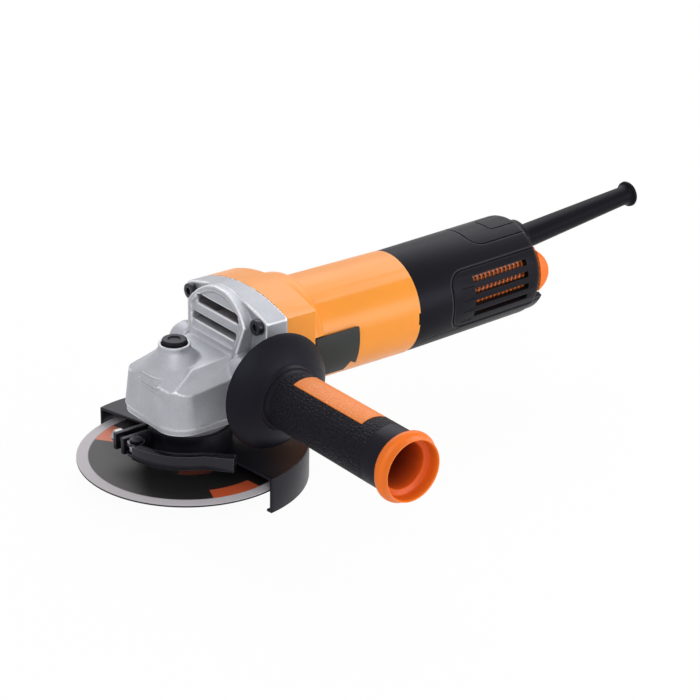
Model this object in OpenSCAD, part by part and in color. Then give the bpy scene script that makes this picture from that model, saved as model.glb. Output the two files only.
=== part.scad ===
// Angle grinder for 115 mm wheels, with its side handle, wheel guard and cutting wheel.
// The origin is the centre of the wheel seat on the spindle axis. +X runs to the tail,
// +Z up the spindle, and the side handle stands out along -Y. Millimetres.

/* [Wheel] */
// Diameter of the cutting wheel
wheel_d = 115; // [100:0.5:125]
// Thickness of the cutting wheel
wheel_t = 1.2; // [0.8:0.1:3]
// Bore of the cutting wheel
wheel_bore = 22.23; // [20:0.01:23]
// Diameter of the two wheel flanges
flange_d = 40; // [34:1:46]

/* [Guard] */
// Gap between the wheel's edge and the inside of the guard
guard_gap = 2; // [1:0.5:6]
// Thickness of the guard's sheet
guard_t = 1.5; // [1:0.1:3]
// Height of the guard's skirt
guard_h = 19; // [15:1:26]
// Height of the top of the guard's plate over the wheel seat
guard_top = 7.5; // [6.8:0.1:8]
// Azimuth of the guard's end beside the handle
guard_from = -83; // [-100:1:-60]
// Azimuth of the guard's far end
guard_to = 106; // [60:1:120]

/* [Gear case] */
// Height of the motor axis over the wheel seat
axis_h = 51.7; // [51:0.1:54]
// Half of the gear case's width
case_r = 27; // [27:0.5:30]
// Distance of the head's flat front ahead of the spindle
nose_x = 27.2; // [27.2:0.1:30]
// Radius of the head's two front corners
case_corner = 14; // [12:0.5:16]
// Wall of the gear case
case_wall = 3; // [2.5:0.1:3.2]
// Plane where the gear case meets the motor housing
joint_x = 36; // [36:0.5:40]
// Distance of the case screws from the motor axis, sideways
screw_y = 29; // [28:0.5:30]
// Distance of the case screws from the motor axis, up and down
screw_z = 22.6; // [22:0.2:24]

/* [Gears] */
// Transverse module of the bevel gears
gear_m = 1.25; // [1.2:0.01:1.26]
// Teeth of the pinion
pinion_teeth = 10; // [10:1:12]
// Teeth of the crown gear
crown_teeth = 37; // [33:1:37]
// Face width of the teeth
gear_face = 6.5; // [5:0.5:7]
// Turn of the spiral teeth over the face, on the crown gear
gear_spiral = 3; // [0:0.5:3]

/* [Motor] */
// Diameter of the barrel of the motor housing
barrel_d = 56.2; // [56:0.1:62]
// Plane where the tail cover starts
seam_x = 127.6; // [125:0.5:140]
// Outer diameter of the stator
stator_d = 50; // [48:0.1:50]
// Length of the stator and armature stacks
stack_l = 38; // [30:1:40]
// Outer diameter of the armature
armature_d = 29; // [26:0.5:29]
// Diameter of the fan
fan_d = 51; // [46:0.5:51.6]

/* [Tail] */
// Length of the tail cover behind the seam
tail_l = 86.8; // [80:0.5:100]
// Radius of the tail cover
tail_r = 27.9; // [27.9:0.1:31]
// Angle by which the tail rises towards the cord
tail_tilt = 1.8; // [0:0.1:1.8]
// Number of intake slots on each side
slots = 4; // [3:1:4]
// Length of the intake slots
slot_l = 38; // [30:1:40]

/* [Cord guard] */
// Length of the cord guard along its axis
boot_l = 100.6; // [60:1:120]
// Rise of the cord guard's axis
boot_tilt = 6.2; // [4:0.2:8]
// Bore for the cord
boot_bore = 7.6; // [6:0.1:8.2]

/* [Side handle] */
// Distance of the handle's axis behind the spindle
handle_x = 17.5; // [16:0.5:19]
// Height of the handle's axis over the wheel seat
handle_z = 48.9; // [48:0.1:50]
// Distance from the centre plane to the end of the cap
handle_l = 156.4; // [140:1:180]
// Diameter of the grip
grip_d = 30.8; // [30.8:0.1:34]
// Diameter of the hand shield
shield_d = 60.4; // [50:0.5:62]

/* [Controls] */
// Travel of the spindle lock button
lock_travel = 4.5; // [4.2:0.1:4.5]
// Travel of the slide switch
switch_travel = 6; // [4:0.5:7]

/* [Hidden] */
$fn = 96;

// Clearances
run_gap = 0.05; // round running fits, on the radius
slip_gap = 0.02; // pieces of one body slipped together, on the radius
air_gap = 0.3; // between pieces that pass each other
eps = 0.01;

// Spindle line
thread_r = 7; // M14
thread_end = -11;
seat_hub_z = 9; // top of the inner flange, under the spindle's shoulder
shoulder_r = 8.5;
bearing_z = 12.5;
spindle_r = 6;
spindle_top_r = 4;
spindle_top = 53.4;
bush_r = 5;
bush_z = 48;
ball_brg = [6, 8.3, 13.2, 16, 10]; // shaft, inner race, outer race, outside, width
hub_top = 45.8;
neck_r = 20;
neck_z = guard_top + 0.6;
cover_top = 27.7;
cover_flange_z = 24.5;
cover_inset = 0.8; // the cover's edge, inside the case's
cover_screw = 18;
cover_boss = 9; // height of the case's screw bosses over the cover
register_l = 2.6; // depth of the bore that centres the cover
retainer_t = 2;

// Guard
guard_ri = wheel_d / 2 + guard_gap;
guard_ro = guard_ri + guard_t;
band_t = 2;
band_top = 18.6;
link_x = -33;
link_z = 13;
pivot_y = -1.5;
lug_a = [3, 5.5];
lug_b = [10, 12.5];
lever_r = [34, 38.5];
lever_z = [9.4, 16.6];
cam_r = 4.4;

// Gears: the cone distance and the pitch angles
cone_r = gear_m / 2 * norm([pinion_teeth, crown_teeth]);
pinion_cone = atan(pinion_teeth / crown_teeth);
crown_cone = 90 - pinion_cone;
pinion_r = gear_m * pinion_teeth / 2;
crown_r = gear_m * crown_teeth / 2;
gear_shift = 0.4;
gear_backlash = 0.18;
gear_core = 15.5; // where the toothed ring sits on the crown gear's hub

// Motor line
front_brg = [4.5, 6.8, 10.7, 13, 8];
front_brg_x = 27;
rear_brg = [3.5, 5.2, 7.9, 9.5, 6];
rear_brg_x = seam_x + 8.4;
shaft_tip_r = 3;
fan_x = 39.5;
fan_l = 9.5;
baffle_x = 52;
barrel_r = barrel_d / 2;
bore_r = stator_d / 2 + 0.1;
collar_r = 32.3;
collar_ri = 27;
step_x = 56;
spigot_r = 25.45;
spigot_l = 20.4;
spider_x = rear_brg_x - 2;
comm_x = seam_x - 9.6;
comm_l = 11;
stack_x = comm_x - 8.5 - stack_l;
comm_r = 9;
brush_x = comm_x + 4.9;
rod_y = [-24, -22.4];
rod_h = 6;
knob_x = [57.5, 85.5];

// Tail
tail_wall = 3.1;
tail_ri = tail_r - tail_wall;
tail_end = seam_x + tail_l;
slot_pitch = 13.9;
slot_first = -17.5;
slot_w = 3.4;
slot_x = tail_end - 48.4;
filter_r = tail_ri - 0.3;
carrier_z = [38, 40.5];
carrier_w = 36;
boot_x = tail_end - 9.4;
boot_z = axis_h + 10.8735 + tail_l * sin(tail_tilt);
carrier_end = boot_x - 1.6;
clamp_x = boot_x - 6;
tail_screw_x = boot_x - 5;

// Lock
lock_x = -8.2;
lock_boss_r = 8.2;
lock_boss_top = 63.5;
lock_flare = [49, 60.5]; // the foot of the button's boss
lock_flare_r = 12.2;
button_r = 6.5;
button_z = [60, 65.6];
lock_seat = 55.2;
lock_pin_r = 2;
lock_pin_tip = 46.9;

// Handle
boss_r = 9.5;
boss_y = 31;
stud_r = 4;
stud_l = 10;
core_r = 13.2;
shield_y = 50.5;
hub_y = 58;
cap_back = handle_l - 9.4;
cap_r = 17.7;
cap_mouth = 14.7;
inlay_from = 73.5;
inlay_to = 126;
inlay_a = [64, 118];
inlay_t = 1;

// ---------- helpers ----------
module z_rod(r, z0, z1, x = 0, y = 0) translate([x, y, z0]) cylinder(r = r, h = z1 - z0);
module x_rod(r, x0, x1, y = 0, z = axis_h) {
  translate([x0, y, z]) rotate([0, 90, 0]) cylinder(r = r, h = x1 - x0);
}
// A rod along Y from y0 to y1, whichever is lower
module y_rod(r, y0, y1, x, z) {
  translate([x, max(y0, y1), z]) rotate([90, 0, 0]) cylinder(r = r, h = abs(y1 - y0));
}
module z_ring(ri, ro, z0, z1, x = 0, y = 0) {
  difference() {
    z_rod(ro, z0, z1, x, y);
    z_rod(ri, z0 - 1, z1 + 1, x, y);
  }
}
module x_ring(ri, ro, x0, x1) {
  difference() {
    x_rod(ro, x0, x1);
    x_rod(ri, x0 - 1, x1 + 1);
  }
}
// Part of a ring round the motor axis, its angles counted from -Y upwards
module x_sector(ri, ro, a0, a1, x0, x1) {
  translate([x0, 0, axis_h]) rotate([0, 90, 0]) rotate([0, 0, -90 - a1])
    rotate_extrude(angle = a1 - a0) translate([ri, 0]) square([ro - ri, x1 - x0]);
}
module z_sector(ri, ro, a0, a1, z0, z1) {
  translate([0, 0, z0]) rotate([0, 0, a0])
    rotate_extrude(angle = a1 - a0) translate([ri, 0]) square([ro - ri, z1 - z0]);
}
module box(x0, x1, y0, y1, z0, z1) {
  translate([x0, y0, z0]) cube([x1 - x0, y1 - y0, z1 - z0]);
}
// A flat outline in the YZ plane, run from x0 to x1; its second coordinate is height over the motor axis
module x_plate(x0, x1) {
  translate([x0, 0, axis_h]) rotate([90, 0, 90]) linear_extrude(x1 - x0) children();
}
module tail_frame() {
  translate([seam_x, 0, axis_h]) rotate([0, -tail_tilt, 0])
    translate([-seam_x, 0, -axis_h]) children();
}
module boot_frame() translate([boot_x, 0, boot_z]) rotate([0, 90 - boot_tilt, 0]) children();
module handle_frame() translate([handle_x, 0, handle_z]) rotate([90, 0, 0]) children();
module mirrored_y() {
  children();
  mirror([0, 1, 0]) children();
}
module case_corners() {
  for (sy = [-1, 1], sz = [-1, 1]) translate([0, sy * screw_y, sz * screw_z]) children();
}

// A coil spring swept as an eight-sided wire with flat end rings left off
module coil(r, wire, height, turns, steps = 16, sides = 6) {
  n = turns * steps;
  points = [for (i = [0:n], k = [0:sides - 1]) let(
    a = 360 * i / steps, b = 360 * k / sides, rr = r + wire / 2 * cos(b))
    [rr * cos(a), rr * sin(a), wire / 2 + (height - wire) * i / n + wire / 2 * sin(b)]];
  walls = [for (i = [0:n - 1], k = [0:sides - 1]) let(k2 = (k + 1) % sides)
    each [[i * sides + k, (i + 1) * sides + k, (i + 1) * sides + k2],
          [i * sides + k, (i + 1) * sides + k2, i * sides + k2]]];
  ends = [[for (k = [0:sides - 1]) k], [for (k = [sides - 1:-1:0]) n * sides + k]];
  polyhedron(points = points, faces = concat(walls, ends));
}

// ---------- bevel gears ----------
function inv(a) = tan(a) * 180 / PI - a;
// Radii on the developed back cone from root to tip, for a tooth with shift x
function tooth_radii(rv, x) = let(
  rb = rv * cos(20), lo = rv - (1.25 - x) * gear_m, hi = rv + (0.85 + x) * gear_m, s = max(rb, lo + 0.1))
  concat([lo], [for (i = [0:2]) s + (hi - s) * i / 2]);
// Half of the tooth's angle at a radius on the developed back cone
function tooth_half(rho, rv, x) = let(rb = rv * cos(20), r = max(rho, rb))
  ((gear_m * (PI / 2 + 2 * x * tan(20)) - gear_backlash) / (2 * rv)) * 180 / PI
  + inv(20) - inv(acos(min(1, rb / r)));
// One ring of points round the gear, at the fraction k of the cone distance: [radius, angle, axial]
function gear_ring(teeth, cone, x, first, turn, k) = let(
  rv = gear_m * teeth / 2 / cos(cone), radii = tooth_radii(rv, x))
  [for (t = [0:teeth - 1], side = [-1, 1], i = [0:len(radii) - 1]) let(
    rho = radii[side < 0 ? i : len(radii) - 1 - i],
    a = side * tooth_half(rho, rv, x) / cos(cone) + (t + first) * 360 / teeth + turn)
    [k * rho * cos(cone), a, k * (cone_r / cos(cone) - rho * sin(cone))]];
// A toothed body between the outer and the inner end of the teeth, round +Z, with its apex at the origin.
// It is a ring when core lists the [radius, axial] of its inner side, and else closed at back and front
module bevel_teeth(teeth, cone, x, first, spiral, core = [], back = 0, front = 0, sections = 2) {
  teeth_rings = [for (j = [0:sections]) gear_ring(teeth, cone, x, first, spiral * j / sections,
    1 - gear_face / cone_r * j / sections)];
  rings = concat(teeth_rings, [for (c = core) [for (p = teeth_rings[sections]) [c[0], p[1], c[1]]]]);
  n = len(rings[0]);
  m = len(rings);
  solid = len(core) == 0;
  last = m * n;
  points = concat([for (r = rings, p = r) [p[0] * cos(p[1]), p[0] * sin(p[1]), p[2]]],
    solid ? [[0, 0, back], [0, 0, front]] : []);
  walls = [for (j = [0:m - (solid ? 2 : 1)], i = [0:n - 1]) let(i2 = (i + 1) % n, j2 = (j + 1) % m)
    each [[j * n + i, j2 * n + i2, j2 * n + i], [j * n + i, j * n + i2, j2 * n + i2]]];
  caps = solid ? [for (i = [0:n - 1]) let(i2 = (i + 1) % n)
    each [[last, i2, i], [last + 1, sections * n + i, sections * n + i2]]] : [];
  polyhedron(points = points, faces = concat(walls, caps));
}

// ---------- gear case ----------
// The head's plan, drawn in by t: a block whose two front corners are round
module case_plan(t, x_end) {
  corner_x = case_corner - nose_x;
  corner_y = case_r - case_corner;
  for (s = [-1, 1]) translate([corner_x, s * corner_y]) circle(r = case_corner - t);
  translate([t - nose_x, -corner_y]) square([x_end + nose_x - t, 2 * corner_y]);
  translate([corner_x, t - case_r]) square([x_end - corner_x, 2 * (case_r - t)]);
}
// The head's block from z0 up, drawn in by t on every side
module case_block(t, z0, x_end) {
  difference() {
    translate([0, 0, z0]) linear_extrude(62 - z0) case_plan(t, x_end);
    // top face, falling 7 degrees to the front
    translate([13.7, 0, 57.4 - t]) rotate([0, -7.2, 0]) translate([-80, -50, 0]) cube([140, 100, 30]);
    // front slope
    translate([-9, 0, 54.6 - t]) rotate([0, -25.5, 0]) translate([-80, -50, 0]) cube([100, 100, 30]);
    // side chamfers
    mirrored_y() translate([-8.9, -16, 54.8 - 1.27 * t]) rotate([37, -9.5, 0])
      translate([-80, -60, 0]) cube([140, 100, 30]);
  }
}
// The flange's outline: a square whose top and bottom are slightly arched and whose corners are round
module flange_outline(t = 0) {
  intersection() {
    square([2 * (screw_y + 6 - t), 80], center = true);
    translate([0, -62.7]) circle(r = 95 - t);
    translate([0, 62.7]) circle(r = 95 - t);
    circle(r = 43.4 - t);
  }
}
// The vent tower's outline: an arch on sides that lean out
module tower_outline(t = 0) {
  intersection() {
    translate([0, 4.7]) circle(r = 29.6 - t);
    polygon([[-20.6 + t, 4 + t], [20.6 - t, 4 + t], [28 - t, 34], [-28 + t, 34]]);
  }
}
module tower_face(depth) {
  translate([13.7, 0, 57.4]) rotate([0, 10.5, 0]) translate([-40 + depth, -50, -10]) cube([40, 100, 60]);
}
// The clear way for the heads of the four screws that hold the case to the motor housing
module case_screw_recesses() {
  translate([10, 0, axis_h]) case_corners() rotate([0, 90, 0]) cylinder(r = 4.3, h = joint_x - 23);
}
module gear_case() color("silver") difference() {
  union() {
    case_block(0, cover_top, joint_x - 12);
    difference() {
      x_plate(10, joint_x - 12) tower_outline();
      tower_face(0);
    }
    x_plate(joint_x - 13, joint_x) flange_outline();
    z_rod(lock_boss_r, 50, lock_boss_top, lock_x);
    translate([lock_x, 0, lock_flare[0]])
      cylinder(r1 = lock_flare_r, r2 = lock_boss_r, h = lock_flare[1] - lock_flare[0]);
    for (s = [-1, 1]) y_rod(boss_r, s * (case_r - 6.5), s * boss_y, handle_x, handle_z);
  }
  // gear chamber, with the bosses that stand in it
  difference() {
    case_block(case_wall, cover_top + register_l - eps, joint_x - 11.8);
    z_rod(bush_r + 1.2, bush_z, 60);
    z_rod(4.4, 51.5, 60, lock_x);
    difference() {
      for (s = [-1, 1]) y_rod(boss_r, s * (boss_y - stud_l - 1.6), s * case_r, handle_x, handle_z);
      z_rod(crown_r + 1.2, 30, 48.4);
    }
    for (sx = [-1, 1], sy = [-1, 1]) {
      z_rod(4, cover_top, cover_top + cover_boss, sx * cover_screw, sy * cover_screw);
      box(sx * cover_screw - 2.5, sx * cover_screw + 2.5, min(sy * cover_screw, sy * case_r),
        max(sy * cover_screw, sy * case_r), cover_top, cover_top + cover_boss);
    }
  }
  z_rod(case_r - case_wall, cover_top - 1, cover_top + register_l);
  z_rod(crown_r + 0.8, 40, hub_top + 0.9);
  z_rod(crown_r - 2.4, 40, hub_top + 1.9);
  z_rod(bush_r + slip_gap, bush_z - 1, spindle_top + 0.2);
  z_rod(lock_pin_r + run_gap, 40, 60, lock_x);
  z_rod(3.1, 46, 51.5, lock_x);
  z_rod(button_r + 0.2, lock_seat, 70, lock_x);
  // pinion and its bearing
  x_rod(6.5, 15.6, 18.2);
  x_rod(8.7, 18.1, front_brg_x - 2);
  x_rod(8, front_brg_x - 2.1, front_brg_x + 1);
  x_rod(front_brg[3] + slip_gap, front_brg_x, joint_x);
  x_rod(19, joint_x - 1, joint_x + 1);
  for (s = [-1, 1]) x_rod(1.45, joint_x - 9, joint_x, s * 16);
  // air duct to the two slots in the tower
  difference() {
    x_plate(17.5, joint_x + 1) intersection() {
      tower_outline(case_wall);
      translate([0, 12.3]) translate([-30, 0]) square([60, 30]);
    }
    tower_face(case_wall);
    x_rod(20, 20, joint_x + 2);
  }
  // recessed face inside the tower's frame, and its slots
  difference() {
    intersection() {
      x_plate(10, 24) tower_outline(3);
      tower_face(1);
    }
    tower_face(0);
    translate([0, 0, 0]) box(0, 30, -30, 30, 50, 60.5);
  }
  for (s = [[64, 68, -17.6, 19.4], [72.8, 77.4, -18, 18]]) box(12, 25, s[2], s[3], s[0], s[1]);
  // recesses for the screw heads and for the handle's collar, on both sides
  case_screw_recesses();
  for (s = [-1, 1]) y_rod(boss_r, s * boss_y, s * 40, handle_x, handle_z);
  // screw holes
  translate([0, 0, axis_h]) case_corners() rotate([0, 90, 0]) cylinder(r = 2.4, h = joint_x + 1);
  for (sx = [-1, 1], sy = [-1, 1])
    z_rod(2.05, cover_top - 1, cover_top + cover_boss - 1.5, sx * cover_screw, sy * cover_screw);
  // threaded sockets for the side handle, one on each side
  for (s = [-1, 1]) y_rod(stud_r + slip_gap, s * (boss_y - stud_l - 0.4), s * (boss_y + 1), handle_x, handle_z);
}
module gear_case_screws() color("dimgray") translate([0, 0, axis_h]) case_corners()
  rotate([0, 90, 0]) difference() {
    union() {
      translate([0, 0, joint_x - 16.2]) cylinder(r = 4.1, h = 3.2);
      translate([0, 0, joint_x - 13.1]) cylinder(r = 2.2, h = 26);
    }
    translate([0, 0, joint_x - 17]) cylinder(r = 1.9, h = 2.6, $fn = 6);
  }
module bearing_cover() color("silver") difference() {
  union() {
    translate([0, 0, cover_flange_z]) linear_extrude(cover_top - cover_flange_z)
      case_plan(cover_inset, joint_x - 13.6);
    z_rod(neck_r, neck_z, cover_top);
    z_ring(20, case_r - case_wall - slip_gap, cover_top - eps, cover_top + register_l - 0.2);
  }
  z_rod(ball_brg[3] + slip_gap, bearing_z, cover_top + 3);
  z_rod(17.6, bearing_z + ball_brg[4], cover_top + 3);
  z_rod(11, neck_z - 1, bearing_z + 1);
  case_screw_recesses();
  for (sx = [-1, 1], sy = [-1, 1]) {
    z_rod(2.2, cover_flange_z - 1, cover_top + 3, sx * cover_screw, sy * cover_screw);
    z_rod(3.7, cover_flange_z - 1, cover_flange_z + 1.4, sx * cover_screw, sy * cover_screw);
  }
}
module bearing_cover_screws() color("lightgray")
  for (sx = [-1, 1], sy = [-1, 1]) difference() {
    union() {
      z_rod(3.4, cover_flange_z - 0.8, cover_flange_z + 1.4, sx * cover_screw, sy * cover_screw);
      z_rod(2, cover_flange_z + 1.3, cover_top + cover_boss - 2, sx * cover_screw, sy * cover_screw);
    }
    for (a = [0, 90]) translate([sx * cover_screw, sy * cover_screw, cover_flange_z - 0.3])
      rotate([0, 0, a]) cube([4.2, 0.9, 1.6], center = true);
  }
module bearing_retainer() color("gray") difference() {
  z_ring(13.4, 17.5, bearing_z + ball_brg[4], bearing_z + ball_brg[4] + retainer_t);
  for (a = [0, 180]) rotate([0, 0, a]) z_rod(1, 20, 30, 15.4);
}

// ---------- ball bearings ----------
module race(ri, ro, w) difference() {
  cylinder(r = ro, h = w);
  translate([0, 0, -1]) cylinder(r = ri, h = w + 2);
}
module balls(b) {
  r = (b[2] - b[1]) / 2 - run_gap;
  mid = (b[1] + b[2]) / 2;
  count = floor(180 / asin(r / mid) * 0.86);
  for (i = [0:count - 1]) rotate([0, 0, i * 360 / count]) translate([mid, 0, b[4] / 2]) sphere(r = r);
}
module at_spindle_bearing() translate([0, 0, bearing_z]) children();
module at_front_bearing() translate([front_brg_x, 0, axis_h]) rotate([0, 90, 0]) children();
module at_rear_bearing() translate([rear_brg_x, 0, axis_h]) rotate([0, 90, 0]) children();
module spindle_bearing_outer() color("gainsboro")
  at_spindle_bearing() race(ball_brg[2], ball_brg[3], ball_brg[4]);
module spindle_bearing_inner() color("gainsboro")
  at_spindle_bearing() race(ball_brg[0] + slip_gap, ball_brg[1], ball_brg[4]);
module spindle_bearing_balls() color("silver") at_spindle_bearing() balls(ball_brg);
module front_bearing_outer() color("gainsboro")
  at_front_bearing() race(front_brg[2], front_brg[3], front_brg[4]);
module front_bearing_inner() color("gainsboro")
  at_front_bearing() race(front_brg[0] + slip_gap, front_brg[1], front_brg[4]);
module front_bearing_balls() color("silver") at_front_bearing() balls(front_brg);
module rear_bearing_outer() color("gainsboro")
  at_rear_bearing() race(rear_brg[2], rear_brg[3], rear_brg[4]);
module rear_bearing_inner() color("gainsboro")
  at_rear_bearing() race(rear_brg[0] + slip_gap, rear_brg[1], rear_brg[4]);
module rear_bearing_balls() color("silver") at_rear_bearing() balls(rear_brg);

// ---------- spindle and wheel ----------
module spindle() color("darkgray") difference() {
  union() {
    z_rod(thread_r, thread_end, seat_hub_z);
    z_rod(shoulder_r, seat_hub_z, bearing_z);
    z_rod(spindle_r, bearing_z, hub_top);
    z_rod(spindle_top_r, hub_top, spindle_top);
  }
  // flat sides of the shoulder and the centre drilling in the nose
  for (s = [0, 180]) rotate([0, 0, s]) box(shoulder_r - 0.7, 12, -9, 9, seat_hub_z - eps, bearing_z - 1);
  z_rod(1.6, thread_end - 1, thread_end + 4);
}
module crown_gear() color("slategray") difference() {
  union() {
    translate([0, 0, axis_h]) mirror([0, 0, 1])
      bevel_teeth(crown_teeth, crown_cone, -gear_shift, 0, gear_spiral,
        [[gear_core, axis_h - hub_top], [gear_core, axis_h - 42], [crown_r - 1.2, axis_h - 42]]);
    z_rod(crown_r - 2.4, 38, 42 - slip_gap);
    z_rod(gear_core - slip_gap - 0.01, 41, hub_top);
    z_rod(8.2, bearing_z + ball_brg[4], 38.5);
  }
  z_rod(spindle_r + slip_gap, 10, 60);
  for (a = [0:90:270]) rotate([0, 0, a]) z_rod(lock_pin_r + 0.3, 41.5, 60, lock_x);
}
module spindle_bush() color("peru") z_ring(spindle_top_r + run_gap, bush_r, bush_z, spindle_top);
module wheel_flange() color("darkgray") difference() {
  union() {
    z_rod(flange_d / 2, 0, 4.4);
    z_rod(10, 4, seat_hub_z);
    z_rod(wheel_bore / 2 - 0.06, -1, 0.5);
  }
  z_rod(thread_r + slip_gap, -2, 20);
  z_ring(13, 16.5, 3.4, 6);
}
module clamp_nut() color("darkgray") difference() {
  union() {
    z_rod(flange_d / 2, -wheel_t - 3.2, -wheel_t);
    z_rod(13, -wheel_t - 6, -wheel_t - 3);
  }
  z_rod(thread_r + slip_gap, -20, 2);
  for (a = [0, 180]) rotate([0, 0, a]) z_rod(2.5, -10, -wheel_t - 1, 15);
}
module cutting_wheel() color([0.16, 0.15, 0.16]) z_ring(wheel_bore / 2, wheel_d / 2, -wheel_t, 0);

// ---------- spindle lock ----------
module lock_button() color([0.12, 0.12, 0.14]) difference() {
  union() {
    z_rod(button_r, button_z[0], button_z[1] - 0.8, lock_x);
    translate([lock_x, 0, button_z[1] - 0.8]) cylinder(r1 = button_r, r2 = button_r - 0.8, h = 0.8, $fn = 72);
  }
  z_rod(lock_pin_r + slip_gap, 50, button_z[1] - 1.6, lock_x);
  z_ring(3, 5.2, 50, button_z[0] + 2.6, lock_x);
  translate([lock_x, 0, button_z[1] + 3]) sphere(r = 4);
}
module lock_pin() color("gainsboro") {
  z_rod(lock_pin_r, lock_pin_tip, button_z[1] - 1.7, lock_x);
  z_rod(2.9, 50.7, 51.3, lock_x);
}
module lock_spring() color("lightgray") translate([lock_x, 0, lock_seat])
  coil(4.1, 0.8, button_z[0] + 2.6 - lock_seat, 5);

// ---------- guard ----------
module guard_shell() color([0.13, 0.13, 0.14]) {
  z_ring(thread_r + 10, neck_r + 6, guard_top - guard_t, guard_top);
  z_sector(neck_r + 4, guard_ro, guard_from, guard_to, guard_top - guard_t, guard_top);
  z_sector(guard_ri, guard_ro, guard_from, guard_to, guard_top - guard_h, guard_top - guard_t / 2);
  z_sector(guard_ri - 2.2, guard_ri + 0.5, guard_from, guard_to, guard_top - guard_h, guard_top - guard_h + 1.4);
}
module guard_band() color([0.16, 0.16, 0.17]) difference() {
  union() {
    z_ring(neck_r + run_gap, neck_r + band_t, guard_top, band_top);
    for (l = [lug_a, lug_b]) box(link_x - 4.5, -neck_r + 2.5, l[0], l[1], guard_top + 1, band_top - 1.4);
  }
  z_rod(neck_r + run_gap, 0, 30);
  box(-neck_r - 6, -neck_r / 2, lug_a[1], lug_b[0], 0, 30);
  y_rod(2.2, 0, 20, link_x, link_z);
}
module clamp_link() color("silver") difference() {
  union() {
    y_rod(2, pivot_y + 2.5, lug_b[1] + 5, link_x, link_z);
    z_rod(3.4, link_z - 1.4, link_z + 1.4, link_x, pivot_y);
    translate([link_x, lug_b[1] + 3.5, link_z]) rotate([90, 0, 0]) cylinder(r = 4, h = 3.4, $fn = 6);
  }
  z_rod(1.8 + slip_gap, 0, 30, link_x, pivot_y);
}
module lever_pin() color("dimgray") {
  z_rod(1.8, lever_z[0] - 1.4, lever_z[1] + 1, link_x, pivot_y);
  z_rod(3.2, lever_z[1] + 0.3, lever_z[1] + 1.6, link_x, pivot_y);
  z_rod(2.8, lever_z[0] - 1.4, lever_z[0] - 0.3, link_x, pivot_y);
}
module clamp_lever() color([0.1, 0.1, 0.12]) difference() {
  union() {
    z_rod(cam_r, lever_z[0], lever_z[1], link_x, pivot_y);
    // arm that follows the neck and then swings out to its tip
    translate([0, 0, lever_z[0]]) linear_extrude(lever_z[1] - lever_z[0]) polygon(concat(
      [for (a = [188:2:246]) lever_r[1] * [cos(a), sin(a)]], [[-5.4, -46.4], [-1.4, -43.2]],
      [for (a = [246:-2:188]) lever_r[0] * [cos(a), sin(a)]]));
  }
  z_rod(1.8 + run_gap, 0, 30, link_x, pivot_y);
  z_rod(cam_r + 1.4, link_z - 2.3, link_z + 2.3, link_x, pivot_y);
}

// ---------- armature ----------
module armature_shaft() color("darkgray") {
  x_rod(shaft_tip_r, 15.9, front_brg_x + 1);
  x_rod(front_brg[0], front_brg_x, 60);
  x_rod(5, 60, spider_x - 1);
  x_rod(rear_brg[0], spider_x - 2, rear_brg_x + rear_brg[4] + 0.6);
}
module pinion() color("slategray") difference() {
  union() {
    translate([0, 0, axis_h]) rotate([0, 90, 0])
      bevel_teeth(pinion_teeth, pinion_cone, gear_shift, 0.5, gear_spiral * crown_teeth / pinion_teeth,
        [], crown_r - 0.4, crown_r * (1 - gear_face / cone_r) + 0.4);
    x_rod(4.6, crown_r - 1.4, front_brg_x);
  }
  x_rod(shaft_tip_r + slip_gap, 10, 30);
}
module cooling_fan() color([0.2, 0.2, 0.22]) difference() {
  union() {
    x_rod(8, fan_x, fan_x + fan_l);
    x_rod(fan_d / 2, fan_x + fan_l - 1.4, fan_x + fan_l);
    for (i = [0:10]) translate([fan_x, 0, axis_h]) rotate([i * 360 / 11, 0, 0])
      translate([0, 7, -0.7]) rotate([14, 0, 0]) cube([fan_l - 1, fan_d / 2 - 8, 1.4]);
  }
  x_rod(front_brg[0] + slip_gap, 30, 60);
}
module armature_core() color("gray") difference() {
  x_rod(armature_d / 2, stack_x, stack_x + stack_l);
  x_rod(5 + slip_gap, stack_x - 1, stack_x + stack_l + 1);
  for (i = [0:11]) translate([stack_x - 1, 0, axis_h]) rotate([i * 30, 0, 0]) {
    translate([0, 0, 11]) rotate([0, 90, 0]) cylinder(r = 1.9, h = stack_l + 2);
    translate([0, -0.9, 11]) cube([stack_l + 2, 1.8, 6]);
  }
}
module armature_windings() color([0.72, 0.4, 0.2]) {
  for (i = [0:11]) translate([stack_x - 2, 0, axis_h]) rotate([i * 30, 0, 0])
    translate([0, 0, 11]) rotate([0, 90, 0]) cylinder(r = 1.8, h = stack_l + 4);
  for (x = [stack_x - 7.5, stack_x + stack_l + 1]) {
    translate([x, 0, axis_h]) rotate([0, 90, 0]) rotate_extrude()
      polygon([[5.3, 0.8], [8, 0], [11.6, 0.4], [13.2, 2], [13.2, 4.6], [11.6, 6.2], [8, 6.5], [5.3, 6]]);
  }
}
module commutator() color("chocolate") difference() {
  union() {
    x_rod(comm_r, comm_x, comm_x + comm_l);
    x_rod(comm_r + 1.4, comm_x, comm_x + 1.6);
  }
  x_rod(5 + slip_gap, comm_x - 1, comm_x + comm_l + 1);
  for (i = [0:23]) translate([comm_x - 1, 0, axis_h]) rotate([i * 15, 0, 0])
    translate([0, -0.2, comm_r - 0.8]) cube([comm_l + 2, 0.4, 4]);
}

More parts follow.
